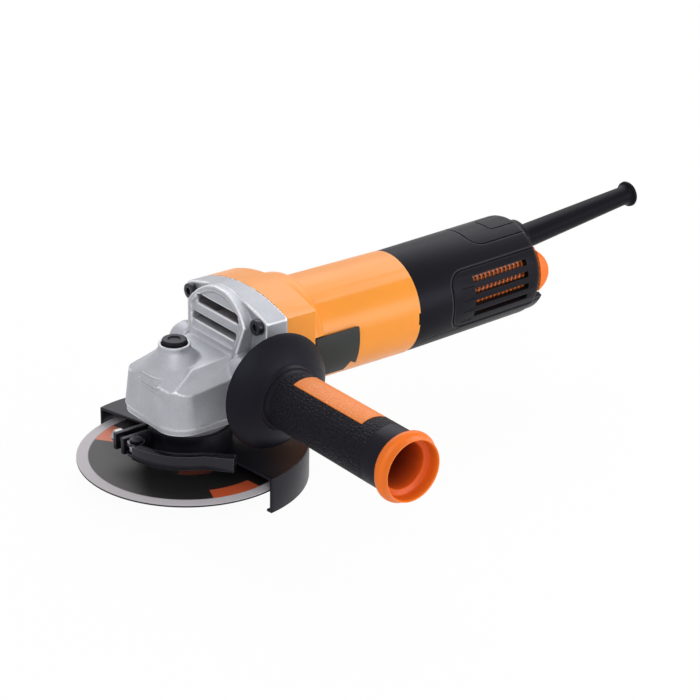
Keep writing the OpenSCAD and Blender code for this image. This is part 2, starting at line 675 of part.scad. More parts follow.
// ---------- motor ----------
module front_bearing_plate() color("gainsboro") difference() {
  x_ring(7.4, 18.9, front_brg_x + front_brg[4], joint_x);
  for (s = [-1, 1]) x_rod(1.6, 30, 40, s * 16);
}
module bearing_plate_screws() color("dimgray") for (s = [-1, 1]) {
  x_rod(1.4, joint_x - 7, joint_x + eps, s * 16);
  x_rod(2.6, joint_x, joint_x + 1.8, s * 16);
}
module air_baffle() color([0.2, 0.2, 0.22]) difference() {
  x_rod(collar_ri - slip_gap, baffle_x, step_x);
  translate([baffle_x - 1, 0, axis_h]) rotate([0, 90, 0]) cylinder(r1 = 18.6, r2 = 22.5, h = step_x - baffle_x + 2);
  x_rod(collar_ri - 2, baffle_x - 1, baffle_x + 1.6);
}
module motor_housing() color([0.96, 0.58, 0.2]) difference() {
  union() {
    x_plate(joint_x, joint_x + 17) flange_outline();
    x_rod(collar_r, joint_x, 57);
    translate([57 - eps, 0, axis_h]) rotate([0, 90, 0]) rotate_extrude()
      polygon(concat([[0, 0]], [for (a = [90:-15:0]) [collar_r - 4.2 + 4.2 * sin(a), 7 * cos(a)]], [[0, 7]]));
    x_rod(barrel_r, 60, seam_x);
    x_rod(spigot_r, seam_x - 1, seam_x + spigot_l);
    intersection() {
      union() {
        box(seam_x + 8, carrier_end, -carrier_w / 2, carrier_w / 2, carrier_z[0], carrier_z[1]);
        for (s = [-1, 1]) box(boot_x - 10.5, carrier_end, s * 9 - 3, s * 9 + 3, carrier_z[1] - eps, 69.6);
      }
      x_rod(23.9, 100, tail_end + 6);
    }
  }
  x_rod(collar_ri, joint_x - 1, step_x);
  x_rod(bore_r, step_x - 1, seam_x - 0.5);
  difference() {
    x_rod(23.4, seam_x - 1, seam_x + spigot_l + 1);
    x_rod(24, spider_x, spider_x + 3);
    x_rod(rear_brg[3] + 2.4, spider_x, rear_brg_x + rear_brg[4]);
    box(seam_x + 8, tail_end + 16, -carrier_w / 2, carrier_w / 2, carrier_z[0], carrier_z[1]);
  }
  x_rod(rear_brg[3] + slip_gap, rear_brg_x, rear_brg_x + rear_brg[4] + 1);
  x_rod(6, spider_x - 1, rear_brg_x + 1);
  for (a = [30:60:330]) translate([spider_x - 1, 0, axis_h]) rotate([a, 0, 0])
    translate([0, 0, 17.6]) rotate([0, 90, 0]) cylinder(r = 4.4, h = 5);
  // pocket in the collar that the switch knob slides into
  x_sector(barrel_r, collar_r + 2, -36, 15.5, knob_x[0] - switch_travel - 0.4, 66);
  // passage for the switch rod, and the slot under the switch knob
  box(seam_x - 1, seam_x + spigot_l + 1, -30, rod_y[1] + air_gap, axis_h - rod_h / 2 - 0.4, axis_h + rod_h / 2 + 0.4);
  box(60.5, 75.5, -barrel_r - 2.9, -23, axis_h - rod_h / 2 - 0.3, axis_h + rod_h / 2 + 0.3);
  translate([0, 0, axis_h]) case_corners() translate([joint_x - 1, 0, 0]) rotate([0, 90, 0])
    cylinder(r = 2.2 + slip_gap, h = 14.5);
  z_rod(1.6, 30, 60, tail_screw_x);
  for (s = [-1, 1]) z_rod(1.3, 56, 80, clamp_x, s * 9);
}
module stator_core() color("gray") difference() {
  x_rod(stator_d / 2, stack_x, stack_x + stack_l);
  x_rod(armature_d / 2 + 0.5, stack_x - 1, stack_x + stack_l + 1);
  for (a = [-62, 26, 118, 206]) x_sector(14, 21.6, a, a + 36, stack_x - 1, stack_x + stack_l + 1);
  mirrored_y() box(0, 200, -40, rod_y[1] + air_gap, 20, 90);
}
module field_coils() color([0.78, 0.42, 0.18]) for (m = [0, 180]) difference() {
  x_sector(16, 21.2, m - 60, m + 60, stack_x - 7, stack_x + stack_l + 7);
  x_sector(10, 25, m - 27, m + 27, stack_x - 1.5, stack_x + stack_l + 1.5);
}
module both_brushes() for (a = [0, 180]) translate([brush_x, 0, axis_h]) rotate([a, 0, 0]) children();
module brush_holders() color("goldenrod") both_brushes() difference() {
  translate([-4.1, -5.2, 11]) cube([8.2, 10.4, 13.3]);
  translate([-3.1, -4.1, 10]) cube([6.2, 8.2, 13.3]);
}
module carbon_brushes() color([0.2, 0.2, 0.2]) both_brushes() difference() {
  translate([-3, -4, comm_r - 1]) cube([6, 8, 10]);
  translate([-6, 0, 0]) rotate([0, 90, 0]) cylinder(r = comm_r + 0.08, h = 12);
}
module brush_springs() color("lightgray") both_brushes()
  translate([0, 0, comm_r + 9.05]) coil(2.4, 0.6, 5.2, 4, 12, 6);

// ---------- tail ----------
module tail_cover() color([0.14, 0.14, 0.17]) difference() {
  union() {
    tail_frame() translate([seam_x, 0, axis_h]) rotate([0, 90, 0]) rotate_extrude()
      polygon(concat([[0, -2], [tail_r, -2]],
        [for (a = [0:15:90]) [tail_r - 5 + 5 * cos(a), tail_l - 5 + 5 * sin(a)]], [[0, tail_l]]));
    tail_frame() x_sector(tail_ri - 0.4, tail_r - 0.6, -154, -26, tail_end - 4.6, tail_end + 2.4);
    boot_frame() cylinder(r = 11.5, h = 15);
  }
  box(seam_x - 9, seam_x, -40, 40, 10, 90);
  x_rod(spigot_r + 0.1, seam_x - 1, seam_x + spigot_l + 2);
  tail_frame() x_rod(tail_ri, seam_x + spigot_l + 1, tail_end - 2.4);
  tail_frame() mirrored_y() for (i = [0:slots - 1]) translate([slot_x, 0, axis_h])
    rotate([-slot_first - i * slot_pitch, 0, 0]) translate([0, -tail_r - 2, -slot_w / 2]) cube([slot_l, 8, slot_w]);
  // side slits in the rear wall for the filters
  tail_frame() mirrored_y() x_sector(filter_r - 1.3, tail_ri - 0.1, -24, 40, tail_end - 4, tail_end + 8);
  boot_frame() cylinder(r = 6.95, h = 20);
  boot_frame() translate([0, 0, -10]) cylinder(r = 9.6, h = 14.2);
  z_rod(4.2, 10, 28.4, tail_screw_x);
  z_rod(2.2, 10, 40, tail_screw_x);
}
module tail_screw() color("dimgray") difference() {
  union() {
    z_rod(3.9, 25.4, 28.4, tail_screw_x);
    z_rod(1.55, 28, 40.5, tail_screw_x);
  }
  translate([tail_screw_x, 0, 25.8]) for (a = [0, 90]) rotate([0, 0, a]) cube([4.4, 1, 1.8], center = true);
}
module intake_filters() color([0.95, 0.42, 0.12]) tail_frame() mirrored_y() {
  difference() {
    x_sector(filter_r - 1, filter_r, -23, 39, slot_x - 6, tail_end + 0.8);
    for (i = [0:slots - 1], k = [0:12]) translate([slot_x + 1.6 + k * 2.9, 0, axis_h])
      rotate([-slot_first - i * slot_pitch, 0, 0]) rotate([90, 0, 0]) cylinder(r = 0.8, h = 40, $fn = 4);
  }
  intersection() {
    x_sector(filter_r - 5.5, filter_r + 1.3, -23, 39, tail_end + 0.3, tail_end + 9);
    y_rod(14.4, -40, 0, tail_end - 8.4, axis_h + 2.4);
  }
}
module switch_body() color([0.1, 0.1, 0.1]) difference() {
  box(158.5, 184, -12, 6, carrier_z[1], 61);
  x_rod(1.6 + run_gap, 158, 172, -8, axis_h);
}
module switch_rod() color([0.25, 0.25, 0.27]) {
  box(67, 157, rod_y[0], rod_y[1], axis_h - rod_h / 2, axis_h + rod_h / 2);
  box(154.5, 157, rod_y[0], -5, axis_h - 2.5, axis_h + 2.5);
  x_rod(1.6, 156, 170, -8, axis_h);
}
module switch_knob() color([0.2, 0.21, 0.18]) difference() {
  union() {
    x_sector(barrel_r + air_gap, barrel_r + 2.4, -34, 13.5, knob_x[0], knob_x[1]);
    box(67.5, 74.5, -barrel_r - air_gap - 0.5, rod_y[0], axis_h - rod_h / 2, axis_h + rod_h / 2);
  }
  translate([knob_x[1], -30, 30.4]) rotate([0, 30, 0]) box(-8, 6, -10, 20, -8, 6);
}
module cord_clamp() color([0.12, 0.12, 0.12]) difference() {
  box(clamp_x - 4, clamp_x + 4, -11.6, 11.6, 69.6, 72.2);
  for (s = [-1, 1]) z_rod(1.6, 60, 80, clamp_x, s * 9);
}
module cord_clamp_screws() color("dimgray") for (s = [-1, 1]) {
  z_rod(1.25, 58, 72.3, clamp_x, s * 9);
  z_rod(2.4, 72.2, 73.8, clamp_x, s * 9);
}
module cord_guard() color([0.1, 0.1, 0.12]) boot_frame() rotate_extrude()
  polygon(concat([[boot_bore / 2, 0], [9.3, 0], [9.3, 4], [6.9, 4], [6.9, 15.1], [8.3, 15.1], [8.3, 17.5], [6.9, 18]],
    [[5.4, boot_l - 8]],
    [for (a = [0:15:90]) [7.2 - 1.8 * cos(a), boot_l - 5.4 + 3 * sin(a)]],
    [[7.4, boot_l - 1], [6.8, boot_l], [boot_bore / 2, boot_l]]));

// ---------- side handle ----------
module handle_stud() color("gainsboro") handle_frame() {
  translate([0, 0, boss_y - stud_l]) cylinder(r = stud_r, h = stud_l + 1);
  translate([0, 0, boss_y]) cylinder(r = 9, h = 4);
  translate([0, 0, boss_y + 3]) cylinder(r = 6, h = 36);
}
module handle_core() color([0.16, 0.16, 0.17]) handle_frame() difference() {
  union() {
    translate([0, 0, boss_y + 4]) cylinder(r = 10.4, h = hub_y - boss_y - 4);
    translate([0, 0, hub_y - 1]) cylinder(r = core_r, h = cap_back - 26 - hub_y);
  }
  translate([0, 0, boss_y]) cylinder(r = 6 + slip_gap, h = 39 + slip_gap);
}
module handle_grip() color([0.15, 0.15, 0.18]) handle_frame() difference() {
  union() {
    translate([0, 0, hub_y]) cylinder(r = grip_d / 2, h = cap_back - hub_y);
    rotate_extrude() polygon([[10.4 + slip_gap, hub_y - 3.5], [10.4 + slip_gap, hub_y + 0.6], [core_r, hub_y + 0.6],
      [core_r, hub_y + 4], [16.2, hub_y + 4], [17, hub_y + 1.8], [20, hub_y + 0.4], [25, hub_y - 2.6],
      [28.6, hub_y - 5.6], [shield_d / 2, shield_y], [shield_d / 2 - 0.6, shield_y - 0.8], [shield_d / 2 - 2, shield_y],
      [25.6, hub_y - 5.6], [20, hub_y - 2.6], [15, hub_y - 3.5]]);
  }
  translate([0, 0, hub_y - 1]) cylinder(r = core_r + slip_gap, h = 200);
  // bed of the inlay
  rotate([0, 0, 180 - inlay_a[1] - 0.1]) translate([0, 0, inlay_from - slip_gap]) rotate_extrude(angle = inlay_a[1] - inlay_a[0] + 0.2)
    translate([grip_d / 2 - inlay_t - slip_gap, 0]) square([4, inlay_to - inlay_from + 2 * slip_gap]);
}
module handle_inlay() color([0.98, 0.55, 0.22]) handle_frame()
  rotate([0, 0, 180 - inlay_a[1]]) translate([0, 0, inlay_from]) rotate_extrude(angle = inlay_a[1] - inlay_a[0])
    translate([grip_d / 2 - inlay_t, 0]) square([inlay_t + 0.3, inlay_to - inlay_from]);
module handle_cap() color([0.95, 0.45, 0.1]) handle_frame() rotate_extrude()
  polygon(concat([[0, cap_back - 25], [core_r - 0.02, cap_back - 25], [core_r - 0.02, cap_back],
    [grip_d / 2 + 0.4, cap_back]],
    [for (a = [-60:20:60]) [cap_r - 3 + 3 * cos(a), cap_back + 3.6 + 3 * sin(a)]],
    [[cap_mouth + 0.8, handle_l], [cap_mouth, handle_l - 0.6], [cap_mouth, handle_l - 6.4], [11.8, handle_l - 7.4],
      [11.4, cap_back - 23.4], [0, cap_back - 23.4]]));

gear_case();
gear_case_screws();
bearing_cover();
bearing_cover_screws();
bearing_retainer();
spindle();
crown_gear();
spindle_bush();
spindle_bearing_outer();
spindle_bearing_balls();
spindle_bearing_inner();
wheel_flange();
clamp_nut();
cutting_wheel();
lock_button();
lock_pin();
lock_spring();
guard_shell();
guard_band();
clamp_link();
clamp_lever();
lever_pin();
armature_shaft();
pinion();
front_bearing_outer();
front_bearing_balls();
front_bearing_inner();
front_bearing_plate();
bearing_plate_screws();
cooling_fan();
armature_core();
armature_windings();
commutator();
rear_bearing_outer();
rear_bearing_balls();
rear_bearing_inner();
air_baffle();
motor_housing();
stator_core();
field_coils();
brush_holders();
carbon_brushes();
brush_springs();
tail_cover();
tail_screw();
intake_filters();
switch_body();
switch_rod();
switch_knob();
cord_clamp();
cord_clamp_screws();
cord_guard();
handle_stud();
handle_core();
handle_grip();
handle_inlay();
handle_cap();
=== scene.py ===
import math

import bpy
from mathutils import Matrix, Vector


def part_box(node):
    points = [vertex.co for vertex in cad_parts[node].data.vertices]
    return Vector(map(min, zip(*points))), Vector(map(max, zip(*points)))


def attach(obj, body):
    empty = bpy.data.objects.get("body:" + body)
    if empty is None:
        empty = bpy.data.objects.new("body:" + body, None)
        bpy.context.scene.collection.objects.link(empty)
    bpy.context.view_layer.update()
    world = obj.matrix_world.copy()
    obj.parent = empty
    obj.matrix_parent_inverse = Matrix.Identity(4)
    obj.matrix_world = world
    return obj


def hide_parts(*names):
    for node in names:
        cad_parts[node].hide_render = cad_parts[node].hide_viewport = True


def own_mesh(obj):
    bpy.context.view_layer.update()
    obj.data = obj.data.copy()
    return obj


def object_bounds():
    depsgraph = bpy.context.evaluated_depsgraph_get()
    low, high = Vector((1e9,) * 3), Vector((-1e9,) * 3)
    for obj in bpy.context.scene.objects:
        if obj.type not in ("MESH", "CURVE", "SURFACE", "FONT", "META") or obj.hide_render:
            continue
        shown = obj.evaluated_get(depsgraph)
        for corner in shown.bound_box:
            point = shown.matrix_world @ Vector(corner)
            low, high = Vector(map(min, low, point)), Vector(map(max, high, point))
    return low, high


bl_info = {
    "name": "Small angle grinder",
    "version": (1, 0, 0),
    "blender": (4, 5, 0),
    "location": "View3D > Sidebar > Grinder",
    "description": "Models and finishes a small angle grinder on its assembled frame",
    "category": "Object",
}

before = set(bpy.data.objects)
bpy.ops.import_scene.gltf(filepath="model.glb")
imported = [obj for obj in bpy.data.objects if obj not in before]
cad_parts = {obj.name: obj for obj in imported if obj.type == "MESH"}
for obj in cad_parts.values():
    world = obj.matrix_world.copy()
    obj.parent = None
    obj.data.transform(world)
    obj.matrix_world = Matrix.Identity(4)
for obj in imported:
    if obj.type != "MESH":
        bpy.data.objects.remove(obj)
CAD_BOX = [list(corner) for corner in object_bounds()]
MM = 0.001


def span(node):
    """Lowest and highest corner of a frame node, in millimetres"""
    low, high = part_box(node)
    return low * 1000, high * 1000


def middle(node):
    """Middle of a frame node's box, in millimetres"""
    low, high = span(node)
    return (low + high) / 2


# --- Places and shapes, in millimetres and degrees ---
AXIS_Z = middle("stator_core").z
WHEEL_R, WHEEL_T = span("cutting_wheel")[1].x, -span("cutting_wheel")[0].z
WHEEL_BORE_R, LABEL_R, WEAVE = 11.115, 51.5, 2.4
THREAD_PITCH, THREAD_TOP = 2.0, 9.0

# Lock button, and the ring and skirt round it on the head
LOCK = middle("lock_button")
LOCK_PLACE = Matrix.Translation((LOCK.x * MM, 0, 0))
LOCK_R = span("lock_button")[1].y
LOCK_TOP = span("lock_button")[1].z
LOCK_FLOOR, LOCK_GAP = span("lock_spring")[0].z, 0.3
RING_R, RING_TOP = 7.9, 63.5
SKIRT_R, SKIRT_TOP, SKIRT_BORE = 8.4, 60.4, 6.9
SKIRT_BEND, SKIRT_FOOT = (13.6, 54.2, 9), (28, 44)
MELT_R, MELT_LOW, MELT_HIGH, MELT_X, MELT_Y = 22, 46, 60, 2, -12
RIB_DEPTH = 0.055

# Head: its walls and their draft, and the bare frame on its front slope as (z, y) corners
FRONT, SIDE, BACK, CORNER_R = -26.2, 25.2, 9, 15
WALL_X, WALL_Y, WALL_CORNER, WALL_CORNER_R, WALL_END = -24.6, 24.3, 13, 11.6, 8
DRAFT, DRAFT_FOOT, DRAFT_RISE = 0.075, 28, 20
SLOPE_X, SLOPE_FALL, SLOPE_POINT = -12, 25.5, (-9, 0, 54.6)
FRAME_LOW, FRAME_HIGH, FRAME_CORNER = (46.6, -11.5), (50.8, 4.5), 1.2

# Tail: a panel is its low and high corners, in mm along and degrees round, and their radius
SEAM_X = span("tail_cover")[0].x
TAIL_R, TAIL_TILT = 27.9, math.radians(1.8)
TAIL_DEG = math.radians(1) * TAIL_R
PANEL_END = 120
SIDE_PANEL = (23.5, -32), (PANEL_END, 37.6), 9
TOP_PANEL = (48.2, 59.5), (PANEL_END, 120.5), 8
CROWN_PANEL = (66, 76), (PANEL_END, 104), 3
RIB_START, RIB_END, RIB_FIRST, RIB_STEP, RIB_COUNT = 30, 37, -24.4, 13.9, 4
LIP_START, LIP_ANGLE = 4, -33.5
FILTER_END, FILTER_HOLES = SEAM_X + 84, 2.9

# Side handle
HANDLE = middle("handle_cap")
HANDLE_END = -span("handle_cap")[0].y
GRIP_R, GRIP_START, GRIP_END, GRIP_CELL = 15.4, 66, 136, 1.9
HOLLOW_R, HOLLOW_FLOOR_R = 14.9, 11.9

# Colours that no user would change
COOL = (0.8, 0.78, 1.0, 1.0)
WHITE = (1, 1, 1, 1)
BEARING_STEEL = (0.62, 0.62, 0.63)
GEAR_STEEL = (0.33, 0.33, 0.34)
BRIGHT_STEEL = (0.6, 0.6, 0.6)

# Stage, in metres, degrees and watts: a lamp is its name, place, aim, size and power
FLOOR_GLOW, WORLD_LIGHT = 0.96, 0.45
LAMPS = (
    ("back", (0.72, 0.66, 1.0), (0.1, 0, 0.05), (1.8, 0.9), 11.0),
    ("key", (-0.7, -0.9, 1.0), (0.08, 0, 0.04), (1.0, 1.0), 6.5),
    ("side", (0.7, -1.3, 0.25), (0.1, 0, 0.04), (0.9, 0.6), 8.0),
)
CAMERA_PLACE = (-0.55878, -0.83584, 0.50649)
CAMERA_TURN, CAMERA_RISE, CAMERA_ROLL, CAMERA_LENS = -38.369, 24.071, 1.074, 113.14


# --- Sizes and colours that a user may change ---
def length(name, text, mm):
    """A size, with its default in millimetres"""
    return bpy.props.FloatProperty(
        name=name, description=text, default=mm * MM, min=0, unit="LENGTH", precision=5)


def tint(name, text, rgb):
    """A colour"""
    return bpy.props.FloatVectorProperty(
        name=name, description=text, default=rgb, size=3, min=0, max=1, subtype="COLOR")


class GrinderSizes(bpy.types.PropertyGroup):
    cast_grain: length("Cast grain", "Cell of the mesh that softens the casting", 0.62)
    frame_height: length("Frame height", "Height of the bare frame on the head", 0.42)
    barrel_edge: length("Barrel edge", "Rounding on the motor housing", 0.7)
    tail_edge: length("Tail edge", "Rounding on the tail cover", 0.6)
    knob_edge: length("Knob edge", "Rounding on the switch knob", 1.1)
    guard_edge: length("Guard edge", "Rounding on the wheel guard and its band", 0.5)
    lever_edge: length("Lever edge", "Rounding on the guard's lever", 0.9)
    handle_edge: length("Handle edge", "Rounding on the grip, the cap and the core", 0.5)
    steel_edge: length("Steel edge", "Rounding on the turned steel pieces", 0.4)
    groove_width: length("Groove width", "Width of the grooves round the tail's panels", 0.9)
    groove_depth: length("Groove depth", "Depth of the grooves in the tail", 0.4)
    button_ribs: bpy.props.IntProperty(
        name="Button ribs", description="Ribs round the lock button", default=28, min=8, max=60)


class GrinderColours(bpy.types.PropertyGroup):
    casting: tint("Casting", "Bare cast aluminium", (0.44, 0.45, 0.49))
    body: tint("Body", "Orange of the motor housing", (0.90, 0.31, 0.032))
    cap: tint("Handle end", "Deeper orange of the cap and the filters", (0.90, 0.185, 0.016))
    inlay: tint("Inlay", "Orange of the strip on the side handle", (0.90, 0.25, 0.045))
    tail: tint("Tail", "Bluish black of the tail", (0.0065, 0.0065, 0.009))
    grip: tint("Grip", "Soft grip and hand shield", (0.0055, 0.0053, 0.0082))
    boot: tint("Cord guard", "Rubber of the cord guard", (0.0065, 0.0063, 0.0085))
    guard: tint("Guard", "Satin paint of the wheel guard", (0.0042, 0.0042, 0.0062))
    knob: tint("Switch knob", "Olive black of the switch knob", (0.034, 0.037, 0.031))
    abrasive: tint("Wheel rim", "Bare abrasive at the wheel's rim", (0.56, 0.53, 0.56))
    label: tint("Wheel label", "Charcoal ground of the label", (0.009, 0.0082, 0.0082))
    flash: tint("Wheel flash", "Warm wedges on the wheel's label", (0.55, 0.09, 0.03))


def size(name):
    """One of the sizes above, in millimetres"""
    return getattr(bpy.context.scene.grinder_sizes, name) / MM


def colour_of(name):
    """One of the colours above"""
    return getattr(bpy.context.scene.grinder_colours, name)


# --- Materials ---
class Val:
    """A number in a net's nodes, so that a pattern is written as plain arithmetic"""

    def __init__(self, net, socket):
        self.net, self.socket = net, socket

    def _math(self, kind, *values):
        node = self.net.node("ShaderNodeMath", dict(enumerate(values)), operation=kind)
        return Val(self.net, node.outputs[0])

    def __add__(self, other):
        return self._math("ADD", self, other)

    def __radd__(self, other):
        return self._math("ADD", other, self)

    def __sub__(self, other):
        return self._math("SUBTRACT", self, other)

    def __rsub__(self, other):
        return self._math("SUBTRACT", other, self)

    def __mul__(self, other):
        return self._math("MULTIPLY", self, other)

    def __rmul__(self, other):
        return self._math("MULTIPLY", other, self)

    def __truediv__(self, other):
        return self._math("DIVIDE", self, other)

    def __rtruediv__(self, other):
        return self._math("DIVIDE", other, self)

    def __neg__(self):
        return self._math("MULTIPLY", self, -1.0)

    def __abs__(self):
        return self._math("ABSOLUTE", self)

    def cos(self):
        return self._math("COSINE", self)

    def sqrt(self):
        return self._math("SQRT", self)

    def atan2(self, other):
        return self._math("ARCTAN2", self, other)

    def least(self, other):
        return self._math("MINIMUM", self, other)

    def most(self, other):
        return self._math("MAXIMUM", self, other)

    def wrap(self, step):
        """Distance from the nearest whole multiple of step"""
        return abs(self - self._math("SNAP", self + step / 2, step))

    def fade(self, low, high):
        """0 below low and 1 above high, softly; low above high turns it round"""
        ends = (low, high, 0, 1) if low < high else (high, low, 1, 0)
        node = self.net.node("ShaderNodeMapRange", dict(enumerate((self, *ends))),
                             interpolation_type="SMOOTHSTEP")
        return Val(self.net, node.outputs[0])

    def within(self, low, high, soft):
        """1 between low and high"""
        return self.fade(low - soft, low + soft) * self.fade(high + soft, high - soft)


class Net:
    """The nodes of one material, or of the world"""

    def __init__(self, tree):
        self.tree = tree

    def node(self, kind, sockets=None, **settings):
        """A new node: its settings come first, then the value or link of each socket"""
        node = self.tree.nodes.new(kind)
        for key, value in settings.items():
            setattr(node, key, value)
        for key, value in (sockets or {}).items():
            self.feed(node.inputs[key], value)
        return node

    def feed(self, socket, value):
        """Links a socket to a value of the net, or sets it to a number or colour"""
        if isinstance(value, Val):
            value = value.socket
        if isinstance(value, bpy.types.NodeSocket):
            self.tree.links.new(value, socket)
        else:
            socket.default_value = value

    def seen(self, amount):
        """That amount for rays that show the backdrop, and 0 for those that light the object"""
        path = self.node("ShaderNodeLightPath")
        camera, glossy, through = (Val(self, path.outputs["Is %s Ray" % kind])
                                   for kind in ("Camera", "Glossy", "Transmission"))
        return camera.most(glossy).most(through) * amount


class Finish(Net):
    """A procedural material; its x, y and z are millimetres in the object's own place"""

    SOCKETS = {"metal": "Metallic", "specular": "Specular IOR Level", "tinge": "Specular Tint",
               "coat": "Coat Weight", "coat_rough": "Coat Roughness"}

    def __init__(self, name, colour, rough, **constants):
        self.material = bpy.data.materials.new(name)
        self.material.use_nodes = True
        super().__init__(self.material.node_tree)
        self.shader = self.tree.nodes["Principled BSDF"]
        self.feed(self.shader.inputs["Base Color"], (*colour, 1.0))
        self.feed(self.shader.inputs["Roughness"], rough)
        for key, value in constants.items():
            self.feed(self.shader.inputs[self.SOCKETS[key]], value)
        coords = self.node("ShaderNodeTexCoord").outputs["Object"]
        self.place = self.node("ShaderNodeVectorMath", {0: coords, "Scale": 1000},
                               operation="SCALE").outputs[0]
        parts = self.node("ShaderNodeSeparateXYZ", {0: self.place}).outputs
        self.x, self.y, self.z = (Val(self, part) for part in parts)
        self.bumps = None

    def vector(self, x, y, z):
        return self.node("ShaderNodeCombineXYZ", {0: x, 1: y, 2: z}).outputs[0]

    def noise(self, grain, detail=2.0, at=None, rough=0.5):
        """Even noise about 0.5 with features of that size in mm"""
        node = self.node("ShaderNodeTexNoise", {
            "Vector": self.place if at is None else at,
            "Scale": 1 / grain, "Detail": detail, "Roughness": rough})
        return Val(self, node.outputs[0])

    def cells(self, grain, at):
        """Distance in from the borders of loose cells of that size in mm"""
        node = self.node("ShaderNodeTexVoronoi", {
            "Vector": at, "Scale": 1 / grain, "Randomness": 0.55}, feature="DISTANCE_TO_EDGE")
        return Val(self, node.outputs["Distance"])

    def panel(self, u, v, low, high, radius):
        """Distance outside a rounded rectangle that runs from low to high, in mm"""
        du = abs(u - (low[0] + high[0]) / 2) - ((high[0] - low[0]) / 2 - radius)
        dv = abs(v - (low[1] + high[1]) / 2) - ((high[1] - low[1]) / 2 - radius)
        du0, dv0 = du.most(0.0), dv.most(0.0)
        return (du0 * du0 + dv0 * dv0).sqrt() + du.most(dv).least(0.0) - radius

    def edges(self, reach):
        """1 on convex or concave edges, fading over that reach in mm"""
        bevel = self.node("ShaderNodeBevel", {"Radius": reach * MM}, samples=6)
        plain = self.node("ShaderNodeNewGeometry")
        dot = self.node("ShaderNodeVectorMath", {0: bevel.outputs[0], 1: plain.outputs["Normal"]},
                        operation="DOT_PRODUCT")
        return 1.0 - Val(self, dot.outputs["Value"])

    def curve(self):
        """Above 0.5 on outward bends of a dense mesh, and below it in hollows"""
        return Val(self, self.node("ShaderNodeNewGeometry").outputs["Pointiness"])

    def shelter(self, reach):
        """1 in the open, and 0 deep in slots narrower than that reach in mm"""
        node = self.node("ShaderNodeAmbientOcclusion", {"Distance": reach * MM},
                         samples=8, only_local=True)
        return Val(self, node.outputs["AO"])

    def colour_now(self):
        """Link of the colour so far, or its plain value"""
        socket = self.shader.inputs["Base Color"]
        return socket.links[0].from_socket if socket.is_linked else tuple(socket.default_value)

    def paint(self, colour, amount):
        """Lays another colour over what is there, by amount"""
        mix = self.node("ShaderNodeMix", {0: amount, 6: self.colour_now(), 7: (*colour, 1.0)},
                        data_type="RGBA")
        self.feed(self.shader.inputs["Base Color"], mix.outputs[2])

    def shade(self, amount):
        """Makes the colour darker below 1 and lighter above it"""
        colour = self.colour_now()
        node = self.node("ShaderNodeVectorMath", {
            0: colour[:3] if isinstance(colour, tuple) else colour, "Scale": amount},
            operation="SCALE")
        self.feed(self.shader.inputs["Base Color"], node.outputs[0])

    def gloss(self, value):
        """Sets the roughness to a pattern"""
        self.feed(self.shader.inputs["Roughness"], value)

    def relief(self, height, depth):
        """Adds a relief: height from 0 to 1 over that many mm"""
        sockets = {"Strength": 1.0, "Distance": depth * MM, "Height": height}
        if self.bumps is not None:
            sockets["Normal"] = self.bumps
        self.bumps = self.node("ShaderNodeBump", sockets).outputs[0]
        self.feed(self.shader.inputs["Normal"], self.bumps)

    def dress(self, *objects):
        """Gives the whole of each object this finish"""
        for obj in objects:
            obj.data.materials.clear()
            obj.data.materials.append(self.material)
            for polygon in obj.data.polygons:
                polygon.material_index = 0

    def dress_nodes(self, *names):
        """Gives this finish to frame nodes that keep their own shape"""
        self.dress(*(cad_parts[name] for name in names))


# --- Modelling ---
def alone(obj):
    """Makes the object the only one selected"""
    bpy.ops.object.select_all(action="DESELECT")
    obj.select_set(True)
    bpy.context.view_layer.objects.active = obj


def settle(obj, place=Matrix.Identity(4)):
    """Moves the object by place, and puts where it stands into its mesh"""
    obj.matrix_world = place @ obj.matrix_world
    alone(obj)
    bpy.ops.object.transform_apply(location=True, rotation=True, scale=True)
    return obj


def modify(obj, kind, **settings):
    """Applies one modifier with those settings"""
    alone(obj)
    step = obj.modifiers.new("Step", kind)
    for key, value in settings.items():
        setattr(step, key, value)
    bpy.ops.object.modifier_apply(modifier=step.name)


def edit(obj, **steps):
    """Takes named edit mode steps in turn, each on the whole mesh"""
    alone(obj)
    bpy.ops.object.mode_set(mode="EDIT")
    for step, settings in steps.items():
        bpy.ops.mesh.select_all(action="SELECT")
        getattr(bpy.ops.mesh, step)(**settings)
    bpy.ops.object.mode_set(mode="OBJECT")
    return obj


def closed(obj):
    """Merges the doubles of a new mesh and turns its faces outwards"""
    return edit(obj, remove_doubles={"threshold": 0.001 * MM},
                normals_make_consistent={"inside": False})


def smooth(obj, angle):
    """Smooth shading, with edges kept that are sharper than that angle"""
    alone(obj)
    bpy.ops.object.shade_smooth_by_angle(angle=math.radians(angle))


def soften(obj, width, angle=30, segments=3):
    """Rounds the edges sharper than that angle"""
    modify(obj, "BEVEL", width=width * MM, segments=segments, limit_method="ANGLE",
           angle_limit=math.radians(angle), use_clamp_overlap=True, miter_outer="MITER_ARC")


def cut(obj, *tools, operation="DIFFERENCE"):
    """Cuts the tools out, or adds or intersects them, and uses them up"""
    for tool in tools:
        modify(obj, "BOOLEAN", object=tool, operation=operation, solver="EXACT")
        bpy.data.objects.remove(tool)


def from_node(node, name, flat=0.5):
    """A copy of a frame node's mesh, merged, and its flat faces joined"""
    obj = bpy.data.objects.new(name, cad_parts[node].data.copy())
    bpy.context.scene.collection.objects.link(obj)
    alone(obj)
    bpy.ops.mesh.customdata_custom_splitnormals_clear()
    steps = {"remove_doubles": {"threshold": 0.002 * MM}}
    if flat:
        steps["dissolve_limited"] = {"angle_limit": math.radians(flat)}
    edit(obj, **steps)
    obj.data.materials.clear()
    return obj


